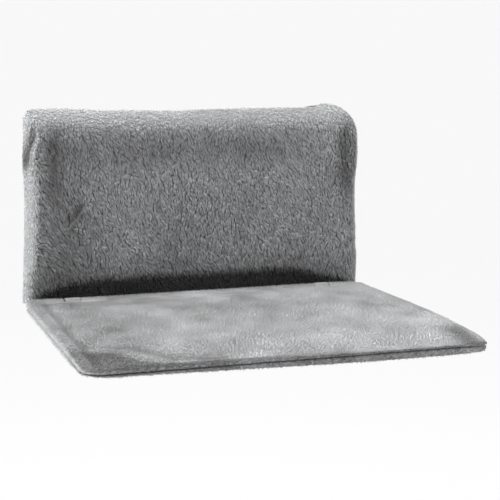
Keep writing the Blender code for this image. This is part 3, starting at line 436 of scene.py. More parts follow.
class Waves:
    """A smooth random field of about unit strength, made of sine waves in all directions."""

    count = 28

    def __init__(self, seed, size, stretch=(1.0, 1.0, 1.0)):
        random = np.random.default_rng(seed)
        directions = random.normal(size=(self.count, 3))
        directions /= np.linalg.norm(directions, axis=1)[:, None]
        lengths = size * random.uniform(0.7, 1.6, self.count)
        self.waves = 2.0 * math.pi * directions / lengths[:, None] / np.array(stretch)
        self.phases = random.uniform(0.0, 2.0 * math.pi, self.count)

    def __call__(self, places):
        total = np.sin(places @ self.waves.T + self.phases).sum(axis=1)
        return total * math.sqrt(2.0 / self.count)


def across_line(places, line):
    """Distance of each flat place from a line, signed by its side, and the share along it."""
    best = np.full(len(places), np.inf)
    signed = np.zeros(len(places))
    along = np.zeros(len(places))
    runs = np.linalg.norm(np.diff(line, axis=0), axis=1)
    start = np.concatenate([[0.0], np.cumsum(runs)])
    for index, (first, last) in enumerate(zip(line, line[1:])):
        step = last - first
        share = np.clip(((places - first) @ step) / (step @ step), 0.0, 1.0)
        off = places - first - share[:, None] * step
        distance = np.linalg.norm(off, axis=1)
        side = np.sign(step[0] * off[:, 1] - step[1] * off[:, 0])
        closer = distance < best
        best = np.where(closer, distance, best)
        signed = np.where(closer, side * distance, signed)
        along = np.where(closer, (start[index] + share * runs[index]) / start[-1], along)
    return signed, along


# Sheets: a flat grid with a border that curls back round its closed edges
QUARTER_STEPS = 10


def even_line(points, step):
    """Points at even distances along a line through the given ones."""
    points = np.array(points)
    runs = np.linalg.norm(np.diff(points, axis=0), axis=1)
    along = np.concatenate([[0.0], np.cumsum(runs)])
    count = max(int(round(along[-1] / step)), 2)
    wanted = np.linspace(0.0, along[-1], count + 1)
    return np.stack([np.interp(wanted, along, points[:, k]) for k in range(points.shape[1])], axis=1)


def arc(center, radius, start, end):
    angles = np.radians(np.linspace(start, end, QUARTER_STEPS))
    return [(center[0] + radius * math.cos(a), center[1] + radius * math.sin(a)) for a in angles]


class Sheet:
    """Flat outline of a sheet, round at its two far corners.

    half and far give its half width and its far edge, corners the two radii, and
    border the profile of the curl as (inset from the outline, share of the depth),
    from the flat part outwards. The near edge is open where near_corner is 0, and
    otherwise curls too, round corners of that radius. Each far corner is a circle's
    quarter where its power is 2, and squarer above that.
    """

    corner_cells = 5

    def __init__(self, half, near, far, corners, border, cell, near_corner=0.0, powers=(2.0, 2.0)):
        self.half = half
        self.powers = powers
        self.near = near
        self.far = far
        self.corners = corners
        self.border = border
        self.near_corner = near_corner
        self.near_cells = self.corner_cells if near_corner else 0
        self.inset = border[0][0]
        self.across = int(2.0 * half(0.5) / cell)
        self.along = int(abs(far(0.0) - near) / cell)

    def mesh(self, place):
        """Make the sheet; place turns a flat point and a share of the depth into a real point."""
        bm = bmesh.new()
        columns = self.across + 2 * self.corner_cells
        rows = self.near_cells + self.along + self.corner_cells
        bmesh.ops.create_grid(bm, x_segments=columns, y_segments=rows, size=1.0)
        column = bm.verts.layers.int.new("column")
        row = bm.verts.layers.int.new("row")
        ring = bm.verts.layers.int.new("ring")
        for vert in bm.verts:
            vert[column] = round((vert.co.x + 1.0) / 2.0 * columns)
            vert[row] = round((vert.co.y + 1.0) / 2.0 * rows)
        rim = [edge for edge in bm.edges if edge.is_boundary
               and (self.near_corner or not all(vert[row] == 0 for vert in edge.verts))]
        for index in range(1, len(self.border)):
            made = bmesh.ops.extrude_edge_only(bm, edges=rim)["geom"]
            for item in made:
                if isinstance(item, bmesh.types.BMVert):
                    item[ring] = index
            rim = [item for item in made if isinstance(item, bmesh.types.BMEdge)
                   and all(vert[ring] == index for vert in item.verts)]
        for vert in bm.verts:
            inset, share = self.border[vert[ring]]
            vert.co = place(self.flat(vert[column], vert[row], inset), share)
        bmesh.ops.recalc_face_normals(bm, faces=bm.faces)
        return bm

    def flat(self, column, row, inset):
        """The flat place of a grid point, or of a border point at an inset from the outline."""
        a = self.share(column, self.across, self.corner_cells)
        b = self.share(row, self.along, self.near_cells)
        height = min(max(row - self.near_cells, 0), self.along) / self.along
        middle = min(max(column - self.corner_cells, 0), self.across) / self.across
        far_corner = self.corners[0] + (self.corners[1] - self.corners[0]) * middle
        corner = far_corner
        left_corner, right_corner = self.corners
        if self.near_corner:
            corner = self.near_corner + (far_corner - self.near_corner) * height
            left_corner = right_corner = corner
        half = self.half(height)
        left = left_corner - half
        right = half - right_corner
        x = left + (right - left) * middle
        length = self.far(x) - self.near
        away = math.copysign(1.0, length)
        start = self.near + away * self.near_corner
        y = start + height * (length - away * (far_corner + self.near_corner))
        bent_a = a * math.sqrt(1.0 - b * b / 2.0)
        bent_b = b * math.sqrt(1.0 - a * a / 2.0)
        inner = corner - self.inset
        place = Vector((x + bent_a * inner, y + away * bent_b * inner))
        if abs(a) == 1.0 or abs(b) == 1.0:
            out = Vector((a, away * b)).normalized()
            power = self.powers[0 if a < 0.0 else 1] if b > 0.0 else 2.0
            out /= (abs(out.x) ** power + abs(out.y) ** power) ** (1.0 / power)
            rim = Vector((x, y)) + out * corner
            place = place.lerp(rim, (self.inset - inset) / self.inset)
        return place

    def share(self, line, middle, near_cells):
        """How far into a corner a grid line lies, from -1 to 1."""
        if line < near_cells:
            return (line - near_cells) / near_cells
        return max(line - near_cells - middle, 0) / self.corner_cells


def refined(piece):
    """Subdivide a piece smoothly and bake the result into its mesh."""
    smooth = piece.modifiers.new("smooth", "SUBSURF")
    smooth.levels = 1
    smooth.render_levels = 1
    applied(piece)


def thickened(piece, thickness):
    """Give a sheet its thickness, inwards, and bake it into its mesh."""
    wall = piece.modifiers.new("thickness", "SOLIDIFY")
    wall.thickness = thickness
    wall.offset = -1.0
    applied(piece)


# Cloth
CLOTH_FRAMES = 16
CLOTH_SHRINK = 0.006
CLOTH_PRESSURE = 0.6
MOST_OUTWARD = 0.0030              # how far the cloth may carry a point each way
MOST_INWARD = 0.0010
MOST_SIDEWAYS = 0.0015


def settle(piece, pinned):
    """Let a sheet settle as cloth, then keep its move up to a cap along and across its face."""
    mesh = piece.data
    rest = points_of(mesh)
    normals = normals_of(mesh)
    group = piece.vertex_groups.new(name="pinned")
    for index in np.nonzero(pinned > 0.0)[0]:
        group.add([int(index)], float(pinned[index]), "REPLACE")
    cloth = piece.modifiers.new("settle", "CLOTH")
    rules = cloth.settings
    rules.quality = 5
    rules.mass = 0.15
    rules.tension_stiffness = 12.0
    rules.compression_stiffness = 12.0
    rules.shear_stiffness = 4.0
    rules.bending_stiffness = 0.4
    rules.vertex_group_mass = "pinned"
    rules.shrink_min = -CLOTH_SHRINK
    rules.use_pressure = True
    rules.uniform_pressure_force = CLOTH_PRESSURE
    rules.effector_weights.gravity = 0.0
    cloth.collision_settings.use_collision = False
    cloth.point_cache.frame_start = 1
    cloth.point_cache.frame_end = CLOTH_FRAMES
    scene = bpy.context.scene
    for number in range(1, CLOTH_FRAMES + 1):
        scene.frame_set(number)
    graph = bpy.context.evaluated_depsgraph_get()
    moved = points_of(piece.evaluated_get(graph).data) - rest
    piece.modifiers.clear()
    piece.vertex_groups.clear()
    scene.frame_set(1)
    out = (moved * normals).sum(axis=1)
    aside = moved - out[:, None] * normals
    reach = np.linalg.norm(aside, axis=1, keepdims=True)
    aside *= MOST_SIDEWAYS * np.tanh(reach / MOST_SIDEWAYS) / np.maximum(reach, 1e-9)
    out = np.where(out > 0.0, MOST_OUTWARD * np.tanh(out / MOST_OUTWARD),
                   MOST_INWARD * np.tanh(out / MOST_INWARD))
    free = (1.0 - pinned)[:, None]
    move_points(mesh, rest + free * (normals * out[:, None] + aside))


# Pile
TUFTS_A_PIECE = 19500              # so that no piece passes 200,000 triangles
TUFT_SIDES = 3
TUFT_WAIST = 0.45                  # height of its ring, of 1
RING_FROM, RING_TO = 0.2, 0.8      # between these heights it has only its ring
TUFT_SWELL = 1.45                  # how much its ring is widened
TUFT_ARCH = 0.10                   # how far its middle stands out, of its length
TUFT_FLATNESS = 0.7
TUFT_SWAY = 0.09                   # how far its tip sways aside, of its length
TUFT_ROOT = 0.0004                 # how deep it is rooted


def tuft_shape():
    """A closed tuft along +Z, one unit tall and wide, with a ring at mid height."""
    bm = bmesh.new()
    bmesh.ops.create_cone(bm, cap_ends=True, segments=TUFT_SIDES, radius1=0.5, radius2=0.0, depth=1.0)
    bmesh.ops.translate(bm, verts=bm.verts, vec=(0.0, 0.0, 0.5))
    bmesh.ops.bisect_plane(bm, geom=bm.verts[:] + bm.edges[:] + bm.faces[:],
                           plane_co=(0.0, 0.0, TUFT_WAIST), plane_no=(0.0, 0.0, 1.0))
    bmesh.ops.triangulate(bm, faces=bm.faces)
    places = np.array([vert.co[:] for vert in bm.verts])
    faces = np.array([[vert.index for vert in face.verts] for face in bm.faces])
    bm.free()
    ring = (places[:, 2] > RING_FROM) & (places[:, 2] < RING_TO)
    places[ring, :2] *= TUFT_SWELL
    return places, faces


def scatter(mesh, count, seed):
    """Roots spread over a mesh by area, with their normals."""
    random = np.random.default_rng(seed)
    mesh.calc_loop_triangles()
    triangles = np.empty(len(mesh.loop_triangles) * 3, dtype=np.int32)
    mesh.loop_triangles.foreach_get("vertices", triangles)
    triangles = triangles.reshape(-1, 3)
    corners = points_of(mesh)[triangles]
    crossed = np.cross(corners[:, 1] - corners[:, 0], corners[:, 2] - corners[:, 0])
    sizes = np.linalg.norm(crossed, axis=1)
    total = np.cumsum(sizes)
    picks = (np.arange(count) + random.uniform(0.0, 1.0, count)) / count * total[-1]
    chosen = np.minimum(np.searchsorted(total, picks), len(sizes) - 1)
    first = np.sqrt(random.uniform(0.0, 1.0, count))
    second = random.uniform(0.0, 1.0, count)
    weights = np.stack([1.0 - first, first * (1.0 - second), first * second], axis=1)[:, :, None]
    roots = (corners[chosen] * weights).sum(axis=1)
    normals = (normals_of(mesh)[triangles[chosen]] * weights).sum(axis=1)
    normals /= np.linalg.norm(normals, axis=1, keepdims=True)
    return roots, normals


def gathered(tips, roots, share, group, seed):
    """Draw the tips of neighbouring tufts together, so that the pile forms locks."""
    random = np.random.default_rng(seed)
    leaders = random.choice(len(tips), len(tips) // group, replace=False)
    tree = kdtree.KDTree(len(leaders))
    for number, index in enumerate(leaders):
        tree.insert(roots[index], number)
    tree.balance()
    nearest = np.array([leaders[tree.find(root)[1]] for root in roots])
    pull = share * random.uniform(0.4, 1.0, len(tips))[:, None]
    return tips + pull * (tips[nearest] - tips)


def stamped(name, places, faces):
    """One mesh of many closed copies of a shape, from the places of each copy's points."""
    count, size = places.shape[:2]
    mesh = bpy.data.meshes.new(name)
    corner_count = count * len(faces) * 3
    mesh.vertices.add(count * size)
    mesh.loops.add(corner_count)
    mesh.polygons.add(count * len(faces))
    mesh.vertices.foreach_set("co", places.astype(np.float32).ravel())
    corners = (faces[None, :, :] + (np.arange(count) * size)[:, None, None]).ravel()
    mesh.loops.foreach_set("vertex_index", corners.astype(np.int32))
    mesh.polygons.foreach_set("loop_start", np.arange(0, corner_count, 3, dtype=np.int32))
    mesh.update(calc_edges=True)
    mesh.shade_smooth()
    return mesh, corners


def unwrap(mesh, shape, corners, count):
    """Lay each copy of a flat shape in a square cell of its own, in a UV map named OFBake."""
    cells = math.ceil(math.sqrt(count))
    number = np.arange(count)
    cell = np.stack([(number % cells) / cells, (number // cells) / cells], axis=1)
    flat = (cell[:, None, :] + shape[None, :, :] / cells).reshape(-1, 2)
    layer = mesh.uv_layers.new(name="OFBake")
    layer.data.foreach_set("uv", flat[corners].astype(np.float32).ravel())


class Plush:
    """A kind of pile, and how its tufts grow.

    Two functions of the places are given: leans, which way the tufts lie, and the brushing, how bright,
    long and pale at the root they are, where the brightness also carries painted light and shade.
    variety is how much their tones differ, stand how upright they are, group how many gather in a lock
    and share how closely.
    """

    def __init__(self, leans, brushing_and_painted_light, length, width, variety, stand, group, share):
        self.leans = leans
        self.brushing_and_painted_light = brushing_and_painted_light
        self.length = length
        self.width = width
        self.variety = variety
        self.stand = stand
        self.group = group
        self.share = share

    def plant(self, piece, prefix, count, seed, finish, body):
        """Root tufts on a skin and split them into pieces of a size that the export keeps whole."""
        skin = piece.data
        tones, _, pales = self.brushing_and_painted_light(points_of(skin), normals_of(skin))
        add_values(skin, "tone", tones)
        add_values(skin, "pale", pales)
        roots, normals = scatter(skin, count, seed)
        random = np.random.default_rng(seed + 7)
        tones, trims, pales = self.brushing_and_painted_light(roots, normals)
        tones = tones * random.uniform(1.0 - self.variety, 1.0 + self.variety, count)
        lengths = self.length * random.uniform(0.65, 1.20, count) * trims
        widths = self.width * random.uniform(0.7, 1.2, count)
        fields = (roots, normals, self.leans(roots), lengths, widths, tones, pales)
        order = np.argsort(roots[:, 0], kind="stable")
        shares = np.array_split(order, math.ceil(count / TUFTS_A_PIECE))
        for number, chosen in enumerate(shares, start=1):
            name = "%s_%d" % (prefix, number)
            mesh = self.tufts(name, [field[chosen] for field in fields], seed + number)
            add_piece(name, mesh, body, finish)

    def tufts(self, name, fields, seed):
        """Tufts as one mesh, each bent over from its root and turned by chance about its spine."""
        roots, normals, leans, lengths, widths, tones, pales = fields
        random = np.random.default_rng(seed)
        shape, faces = tuft_shape()
        count = len(roots)
        along = leans - (leans * normals).sum(axis=1, keepdims=True) * normals
        along /= np.maximum(np.linalg.norm(along, axis=1, keepdims=True), 1e-9)
        across = np.cross(normals, along)
        rise = self.stand * random.uniform(0.7, 1.25, count)[:, None]
        reach = np.sqrt(1.0 - rise ** 2)
        sway = random.normal(0.0, TUFT_SWAY, count)[:, None]
        tips = roots + lengths[:, None] * (normals * rise + along * reach + across * sway)
        tips = gathered(tips, roots, self.share, self.group, seed + 1)
        middles = roots + TUFT_WAIST * (tips - roots) + lengths[:, None] * normals * TUFT_ARCH
        bases = roots - normals * TUFT_ROOT
        roll = random.uniform(0.0, 2.0 * math.pi, count)[:, None]
        places = np.empty((count, len(shape), 3))
        for index, (x, y, z) in enumerate(shape):
            spine = bases if z < RING_FROM else middles if z < RING_TO else tips
            aside = across * (x * np.cos(roll) - y * np.sin(roll))
            above = normals * (x * np.sin(roll) + y * np.cos(roll))
            places[:, index] = spine + widths[:, None] * (aside + above * TUFT_FLATNESS)
        mesh, corners = stamped(name, places, faces)
        heights = np.clip(shape[:, 2], 0.0, 1.0)
        # Painted shade: each tuft darkens towards its root, less where its root is pale
        add_values(mesh, "along", (1.0 - (1.0 - heights)[None, :] * (1.0 - pales)[:, None]).ravel())
        add_values(mesh, "tone", np.repeat(tones, len(shape)))
        unwrap(mesh, np.stack([shape[:, 0] * 0.7 + 0.5, heights * 0.8 + 0.1], axis=1), corners, count)
        return mesh


# The back
class BackForm:
    """Shape of the back's plush sleeve, worked out from the frame's own cover."""

    top = 0.030                    # height of the top edge, before its dips
    flare = 0.0065                 # how much wider the foot is than the shoulders, each side
    shoulder = 0.002               # how far the shoulders bulge
    # Dips in the top edge, each with its place, width and depth
    dips = ((0.156, 0.024, 0.0024), (-0.012, 0.050, 0.0016), (0.169, 0.008, 0.0016))
    # The puffed corner's place, its width to the left and to the right, and its height
    puff = (0.184, 0.005, 0.024, 0.0064)
    hem = 0.004
    rear_round = 0.008
    side_round = 0.021
    middle_depth = 0.0305
    roll_depth = 0.0425
    band_depth = 0.0400            # of the padded band along the top
    band_foot = -0.052
    band_crest = 0.002
    taper = 0.063                  # height over which the rolls grow out of the foot
    foot_drop = 0.0048             # how far the foot hangs down
    foot_height = 0.020
    hinge_zone = (0.149, 0.155, 0.185, 0.191)   # distances from the centre where it hangs less

    def __init__(self):
        low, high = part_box("back_cover_front")
        sizes = settings().back
        self.sizes = sizes
        self.skin = sizes.pile_height
        self.rear = high.y
        self.bottom = low.z
        self.half_low = high.x
        self.corners = (sizes.left_corner, sizes.right_corner)

    def half(self, height):
        """Half width between the bottom, 0, and the shoulders, 1."""
        flare = self.flare * (1.0 - height) ** 2
        bulge = self.shoulder * math.exp(-((height - 0.8) / 0.12) ** 2)
        return self.half_low - self.flare + flare + bulge - self.skin

    def far(self, x):
        """Height of the top edge: dips along its middle, a puffed corner on the right."""
        side = min(max((abs(x) / self.half_low - 0.45) / 0.35, 0.0), 1.0)
        dip = 0.0012 + 0.0033 * (1.0 - side * side * (3.0 - 2.0 * side))
        dip += 0.0012 * smoothstep(-0.05, 0.12, x)
        dip += sum(depth * hump(x, middle, width) for middle, width, depth in self.dips)
        middle, left, right, height = self.puff
        puff = height * hump(x, middle, left if x < middle else right)
        ripple = 0.0004 * math.sin(x * 31.0) + 0.0002 * math.sin(x * 73.0 + 1.0)
        return self.top - dip + puff + ripple - self.skin

    def depth(self, x, z):
        """How far the skin stands in front of the sleeve's rear plane."""
        down = min(max(-z / 0.2, 0.0), 1.0)
        spread = 0.022 * down if x < 0.0 else 0.006 + 0.018 * down
        side = smoothstep(self.sizes.roll_valley - spread, self.sizes.roll_crest, abs(x))
        rise = math.sin(min(max((z - self.bottom) / self.taper, 0.0), 1.0) * math.pi / 2.0)
        band = smoothstep(self.band_foot, self.band_crest, z)
        roll = (self.roll_depth - self.middle_depth) * side * rise
        top = (self.band_depth - self.middle_depth) * band
        swell = 0.0005 * math.sin(x * 34.0 + 1.3) * math.sin(z * 41.0 + 0.4) * (1.0 - side)
        return self.middle_depth + (roll ** 4 + top ** 4) ** 0.25 + swell - self.skin

    def border(self):
        """Profile of the curl from the flat front round the side to the hem behind."""
        depth = self.roll_depth - self.skin
        line = arc((self.side_round, depth - self.side_round), self.side_round, 90.0, 180.0)
        line += arc((self.rear_round, self.rear_round), self.rear_round, 180.0, 270.0)
        line += [(self.rear_round + self.hem, 0.0)]
        return [(inset, distance / depth) for inset, distance in even_line(line, self.sizes.cell)]

    def place(self, flat, share):
        low = 1.0 - smoothstep(self.bottom, self.bottom + self.foot_height, flat.y)
        hinge = between(*self.hinge_zone, abs(flat.x))
        drop = self.foot_drop * low * (1.0 - 0.85 * hinge)
        bulge = 0.0018 + 0.0032 * hump(flat.y, -0.026, 0.030)
        bulge *= smoothstep(0.150, 0.228, flat.x)
        place = Vector((flat.x, self.rear - self.depth(flat.x, flat.y) * share, flat.y - drop))
        return place + Vector((bulge, 0.0, 0.0))


def back_leans(places):
    """Directions in which the back's pile lies: mostly down, flowing from side to side."""
    flow = Waves(31, 0.100)(places)
    swirl = Waves(32, 0.020)(places)
    lift = Waves(33, 0.045)(places)
    left = 1.0 - smoothstep(-0.20, 0.02, places[:, 0])
    across = 0.12 + 0.58 * left + 0.22 * flow + 0.14 * swirl
    return np.stack([across, np.full(len(places), -0.25), -1.0 + 0.20 * lift], axis=1)


DENTS = (  # each line in the back's plane, with its width, its depth and how much painted shade it gets
    (((-0.2120, 0.016), (-0.2140, -0.006), (-0.2200, -0.024), (-0.2252, -0.060)), 0.0036, 0.0036, 0.46),
    (((-0.148, -0.088), (-0.160, -0.107), (-0.178, -0.124)), 0.0060, 0.0042, 0.34),
    (((-0.190, 0.018), (-0.190, -0.023), (-0.192, -0.061), (-0.200, -0.110)), 0.0095, 0.0022, 0.40),
    (((0.206, 0.016), (0.202, -0.020), (0.2035, -0.062), (0.2105, -0.105)), 0.0085, 0.0034, 0.50),
)


def dent_share(places, line, width):
    """How deep each place lies in a dent, from 0 to 1, fading at the dent's ends."""
    signed, along = across_line(places[:, [0, 2]], np.array(line))
    return between(0.0, 0.25, 0.70, 1.0, along) * hump(signed, 0.0, width)


def back_brushing_and_painted_light(places, normals):
    """Brightness, length and paleness at the root of the back's pile.

    The pile is clipped short along the top and round the sides, which look pale. Painted light and shade
    are added too: highlights on the rolls, the sides and the upward-facing top band, shade in the dents,
    and a near-black painted shade where the foot tucks in behind the platform.
    """
    x, z = places[:, 0], places[:, 2]
    broad = Waves(41, 0.110)(places)
    fine = Waves(42, 0.010)(places)
    short = smoothstep(-0.026, 0.030, z)
    left = smoothstep(0.40, 0.85, -normals[:, 0])
    right = smoothstep(0.50, 0.90, normals[:, 0])
    # Mottled, and darker towards the left
    tone = 0.82 + 0.035 * broad + 0.07 * fine - 0.14 * (1.0 - smoothstep(-0.18, -0.08, x))
    # Painted highlights on the crest below the puffed corner, along the left roll and low on the right
    # roll
    tone = tone + 0.22 * spot(x, z, (0.177, -0.006), (0.015, 0.022))
    tone = tone + 0.10 * hump(x, -0.208, 0.009) * smoothstep(-0.100, -0.020, z)
    tone = tone + 0.07 * spot(x, z, (0.192, -0.130), (0.014, 0.040))
    # Even and bright where it is clipped short, a painted highlight on the upward-facing top band, and
    # painted shade in the dents
    tone = tone + (1.02 - tone) * short
    for line, width, _, shade in DENTS:
        tone = tone * (1.0 - shade * dent_share(places, line, 1.25 * width))
    # Painted light by the way each side faces: a highlight on the left-facing side, lifted on the
    # right-facing one
    tone = tone + (1.20 - tone) * left * (1.0 - dent_share(places, DENTS[0][0], 0.005))
    tone = tone + (0.95 - tone) * right
    # Painted shade: nearly black along the foot, where it tucks in behind the platform, with a softer
    # painted shade above that
    edge = -0.207 + 0.0185 * (1.0 - np.exp(-np.maximum(x + 0.216, 0.0) / 0.030))
    above = z - edge + 0.020 * smoothstep(0.125, 0.222, x)
    inside = 1.0 - np.where(x < 0.0, smoothstep(0.2105, 0.217, -x), smoothstep(0.203, 0.214, x))
    tone = tone * (1.0 - 0.20 * (1.0 - smoothstep(0.0, 0.034, above)) * inside)
    tone = tone * (1.0 - 0.96 * (1.0 - smoothstep(-0.007, 0.007, above)) * inside)
    short = np.maximum(short, smoothstep(0.50, 0.90, np.abs(normals[:, 0])))
    return tone, 1.0 - 0.50 * short, 0.03 + 0.47 * short


def dent(mesh):
    """Press the folds and dents into the front of the back's sleeve."""
    places = points_of(mesh)
    normals = normals_of(mesh)
    front = smoothstep(0.0, 0.5, -normals[:, 1])
    for line, width, depth, _ in DENTS:
        places -= normals * (front * depth * dent_share(places, line, width))[:, None]
    move_points(mesh, places)


def make_back():
    """The back's sleeve: a sheet that settles as cloth, with its dents, pile and backing."""
    sizes = settings().back
    form = BackForm()
    sheet = Sheet(form.half, form.bottom, form.far, form.corners, form.border(), sizes.cell,
                  powers=(3.8, 2.0))
    mesh = mesh_from(sheet.mesh(form.place), "back_plush")
    piece = add_piece("back_plush", mesh, "back", plush_base("plush_base"))
    outwards(mesh, Vector((0.0, -1.0, 0.0)))
    # The cloth is held by its hem behind and along its foot
    places = points_of(mesh)
    hem = smoothstep(form.rear - 0.012, form.rear - 0.002, places[:, 1])
    foot = 1.0 - smoothstep(form.bottom + 0.004, form.bottom + 0.03, places[:, 2])
    settle(piece, np.maximum(hem, foot))
    refined(piece)
    dent(piece.data)
    plush = Plush(back_leans, back_brushing_and_painted_light, sizes.tuft_length, sizes.tuft_width,
                  variety=0.30, stand=0.42, group=8, share=0.72)
    plush.plant(piece, "back_pile", sizes.tuft_count, seed=500, finish=plush_pile("back_pile"),
                body="back")
    keep_face("back", piece.data)
    thickened(piece, sizes.backing)
    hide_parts("back_cover_front")


# The platform
FOLD_LINE = np.array([(-0.212, -0.310), (-0.190, -0.316), (-0.172, -0.331), (-0.156, -0.360),
                      (-0.133, -0.384), (-0.106, -0.397), (-0.070, -0.404)])
DIMPLE = (-0.175, -0.220)


class PlatformForm:
    """Shape of one panel of the platform's sleeve, worked out from the frame's own panels."""

    lip_start = -72.0              # degrees at which the rim's round lip starts at the seam
    rod_inset = 0.0093             # of the frame's rod inside the outline
    rear_reach = 0.0078            # how far the panel reaches behind the hinge's axis
    near_corner = 0.0195
    notch = (0.1595, 0.1815)       # distances from the centre between which the hinge shows
    notch_end = -0.0492
    cut_ahead = 0.012              # how far in front of the notch its two cuts reach
    cut_aside = 0.008              # how far to each side of a cut faces are split
    pinch = 0.38                   # how much flatter the front corners are
    pinch_reach = 0.020
    seam_gap = 0.00015

    def __init__(self, up):
        low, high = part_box("platform_cover_bottom")
        sizes = settings().platform
        self.up = up
        self.sizes = sizes
        self.corners = (sizes.left_corner, sizes.right_corner)
        self.axis_y = HINGE_AXIS[1]
        self.seam = HINGE_AXIS[2]
        self.half_width = high.x
        self.front = low.y
        self.rear = self.axis_y + self.rear_reach
        self.skin = self.seam - low.z - sizes.pile_height

    def edge_distance(self, x, y):
        """How far a flat place lies inside the outline's sides and front."""
        corner = np.where(x < 0.0, *self.corners)
        inside_x = np.abs(x) - (self.half_width - corner)
        inside_y = (self.front + corner) - y
        outside = np.hypot(np.maximum(inside_x, 0.0), np.maximum(inside_y, 0.0))
        return corner - outside - np.minimum(np.maximum(inside_x, inside_y), 0.0)

    def relief(self, x, y):
        """Rise of the top over its rim: rod, groove, foam, folds and dents."""
        inner = np.minimum(self.edge_distance(x, y) - self.rod_inset, self.axis_y - y)
        foam = 0.0030 * smoothstep(0.018, 0.070, inner)
        left = smoothstep(0.170, 0.205, -x)
        ahead = 1.0 - smoothstep(0.020, 0.060, y - self.front)
        rim = (0.0009 * (1.0 - ahead) + 0.0013 * left) * hump(inner, 0.0, 0.007)
        swollen = 0.0036 * hump(y, -0.270, 0.100) - 0.0010 * hump(y, -0.050, 0.070)
        rim = rim + hump(x, 0.216, 0.017) * swollen
        groove = (0.0016 - 0.0012 * ahead + 0.0004 * left) * hump(inner, 0.0135, 0.006)
        groove = groove * (1.0 - smoothstep(0.190, 0.205, x) * smoothstep(-0.150, -0.100, y))
        swell = 0.0005 * Waves(61, 0.11)(np.stack([x, y, 0.0 * x], axis=1))
        signed, along = across_line(np.stack([x, y], axis=1), FOLD_LINE)
        fold = 0.0009 * hump(signed, -0.0085, 0.0100) - 0.0018 * hump(signed, 0.0080, 0.0095)
        fold = fold * between(0.0, 0.18, 0.85, 1.0, along)
        dimple = 0.0010 * spot(x, y, DIMPLE, (0.010, 0.010))
        inside = smoothstep(0.010, 0.035, inner)
        return foam + rim - groove + inside * (swell - dimple) + smoothstep(0.002, 0.012, inner) * fold

    def place(self, flat, share):
        """Pinched at its front corners, and lower on the right of its front edge."""
        off = math.hypot(self.half_width - abs(flat.x), flat.y - self.front)
        full = 1.0 - self.pinch * hump(off, 0.0, self.pinch_reach)
        if self.up < 0.0:
            ahead = 1.0 - smoothstep(0.03, 0.10, flat.y - self.front)
            full += ahead * (smoothstep(-0.24, 0.13, flat.x) - 0.50)
        else:
            ahead = 1.0 - smoothstep(0.0, 0.030, flat.y - self.front)
            full -= ahead * (0.12 + 0.20 * smoothstep(-0.15, 0.10, flat.x))
        bulge = 0.0040 * hump(flat.y, -0.270, 0.100) - 0.0020 * hump(flat.y, -0.050, 0.070)
        bulge *= smoothstep(0.170, 0.230, flat.x)
        z = self.seam + self.up * (self.seam_gap + self.skin * share * full)
        return Vector((flat.x + bulge, flat.y, z))

    def border(self):
        """Profile of the lip from the flat panel round to the seam at the edge."""
        radius = self.skin / 2.0
        line = arc((self.sizes.pile_height + radius, radius), radius, 90.0, 180.0 - self.lip_start)
        return [(inset, distance / self.skin)
                for inset, distance in even_line(line, self.sizes.cell * 0.4)]

    def notches(self, bm):
        """Cut the panel's rear edge away round the two hinges."""
        start, end = self.notch
        for sign in (-1.0, 1.0):
            for across in (start, end):
                near = [face for face in bm.faces
                        if face.calc_center_median().y > self.notch_end - self.cut_ahead
                        and abs(face.calc_center_median().x - sign * across) < self.cut_aside]
                parts = near + [edge for face in near for edge in face.edges]
                parts += [vert for face in near for vert in face.verts]
                bmesh.ops.bisect_plane(bm, geom=list(dict.fromkeys(parts)),
                                       plane_co=(sign * across, 0.0, 0.0), plane_no=(1.0, 0.0, 0.0))
        gone = [face for face in bm.faces if face.calc_center_median().y > self.notch_end
                and start < abs(face.calc_center_median().x) < end]
        bmesh.ops.delete(bm, geom=gone, context="FACES")


def platform_leans(places):
    """Directions in which the platform's pile lies, turned a little from place to place."""
    flow = Waves(71, 0.12)(places)
    patch = Waves(72, 0.085, (1.0, 1.6, 1.0))(places)
    return np.stack([0.30 * flow, -1.0 + 0.12 * patch, np.full(len(places), -0.25)], axis=1)


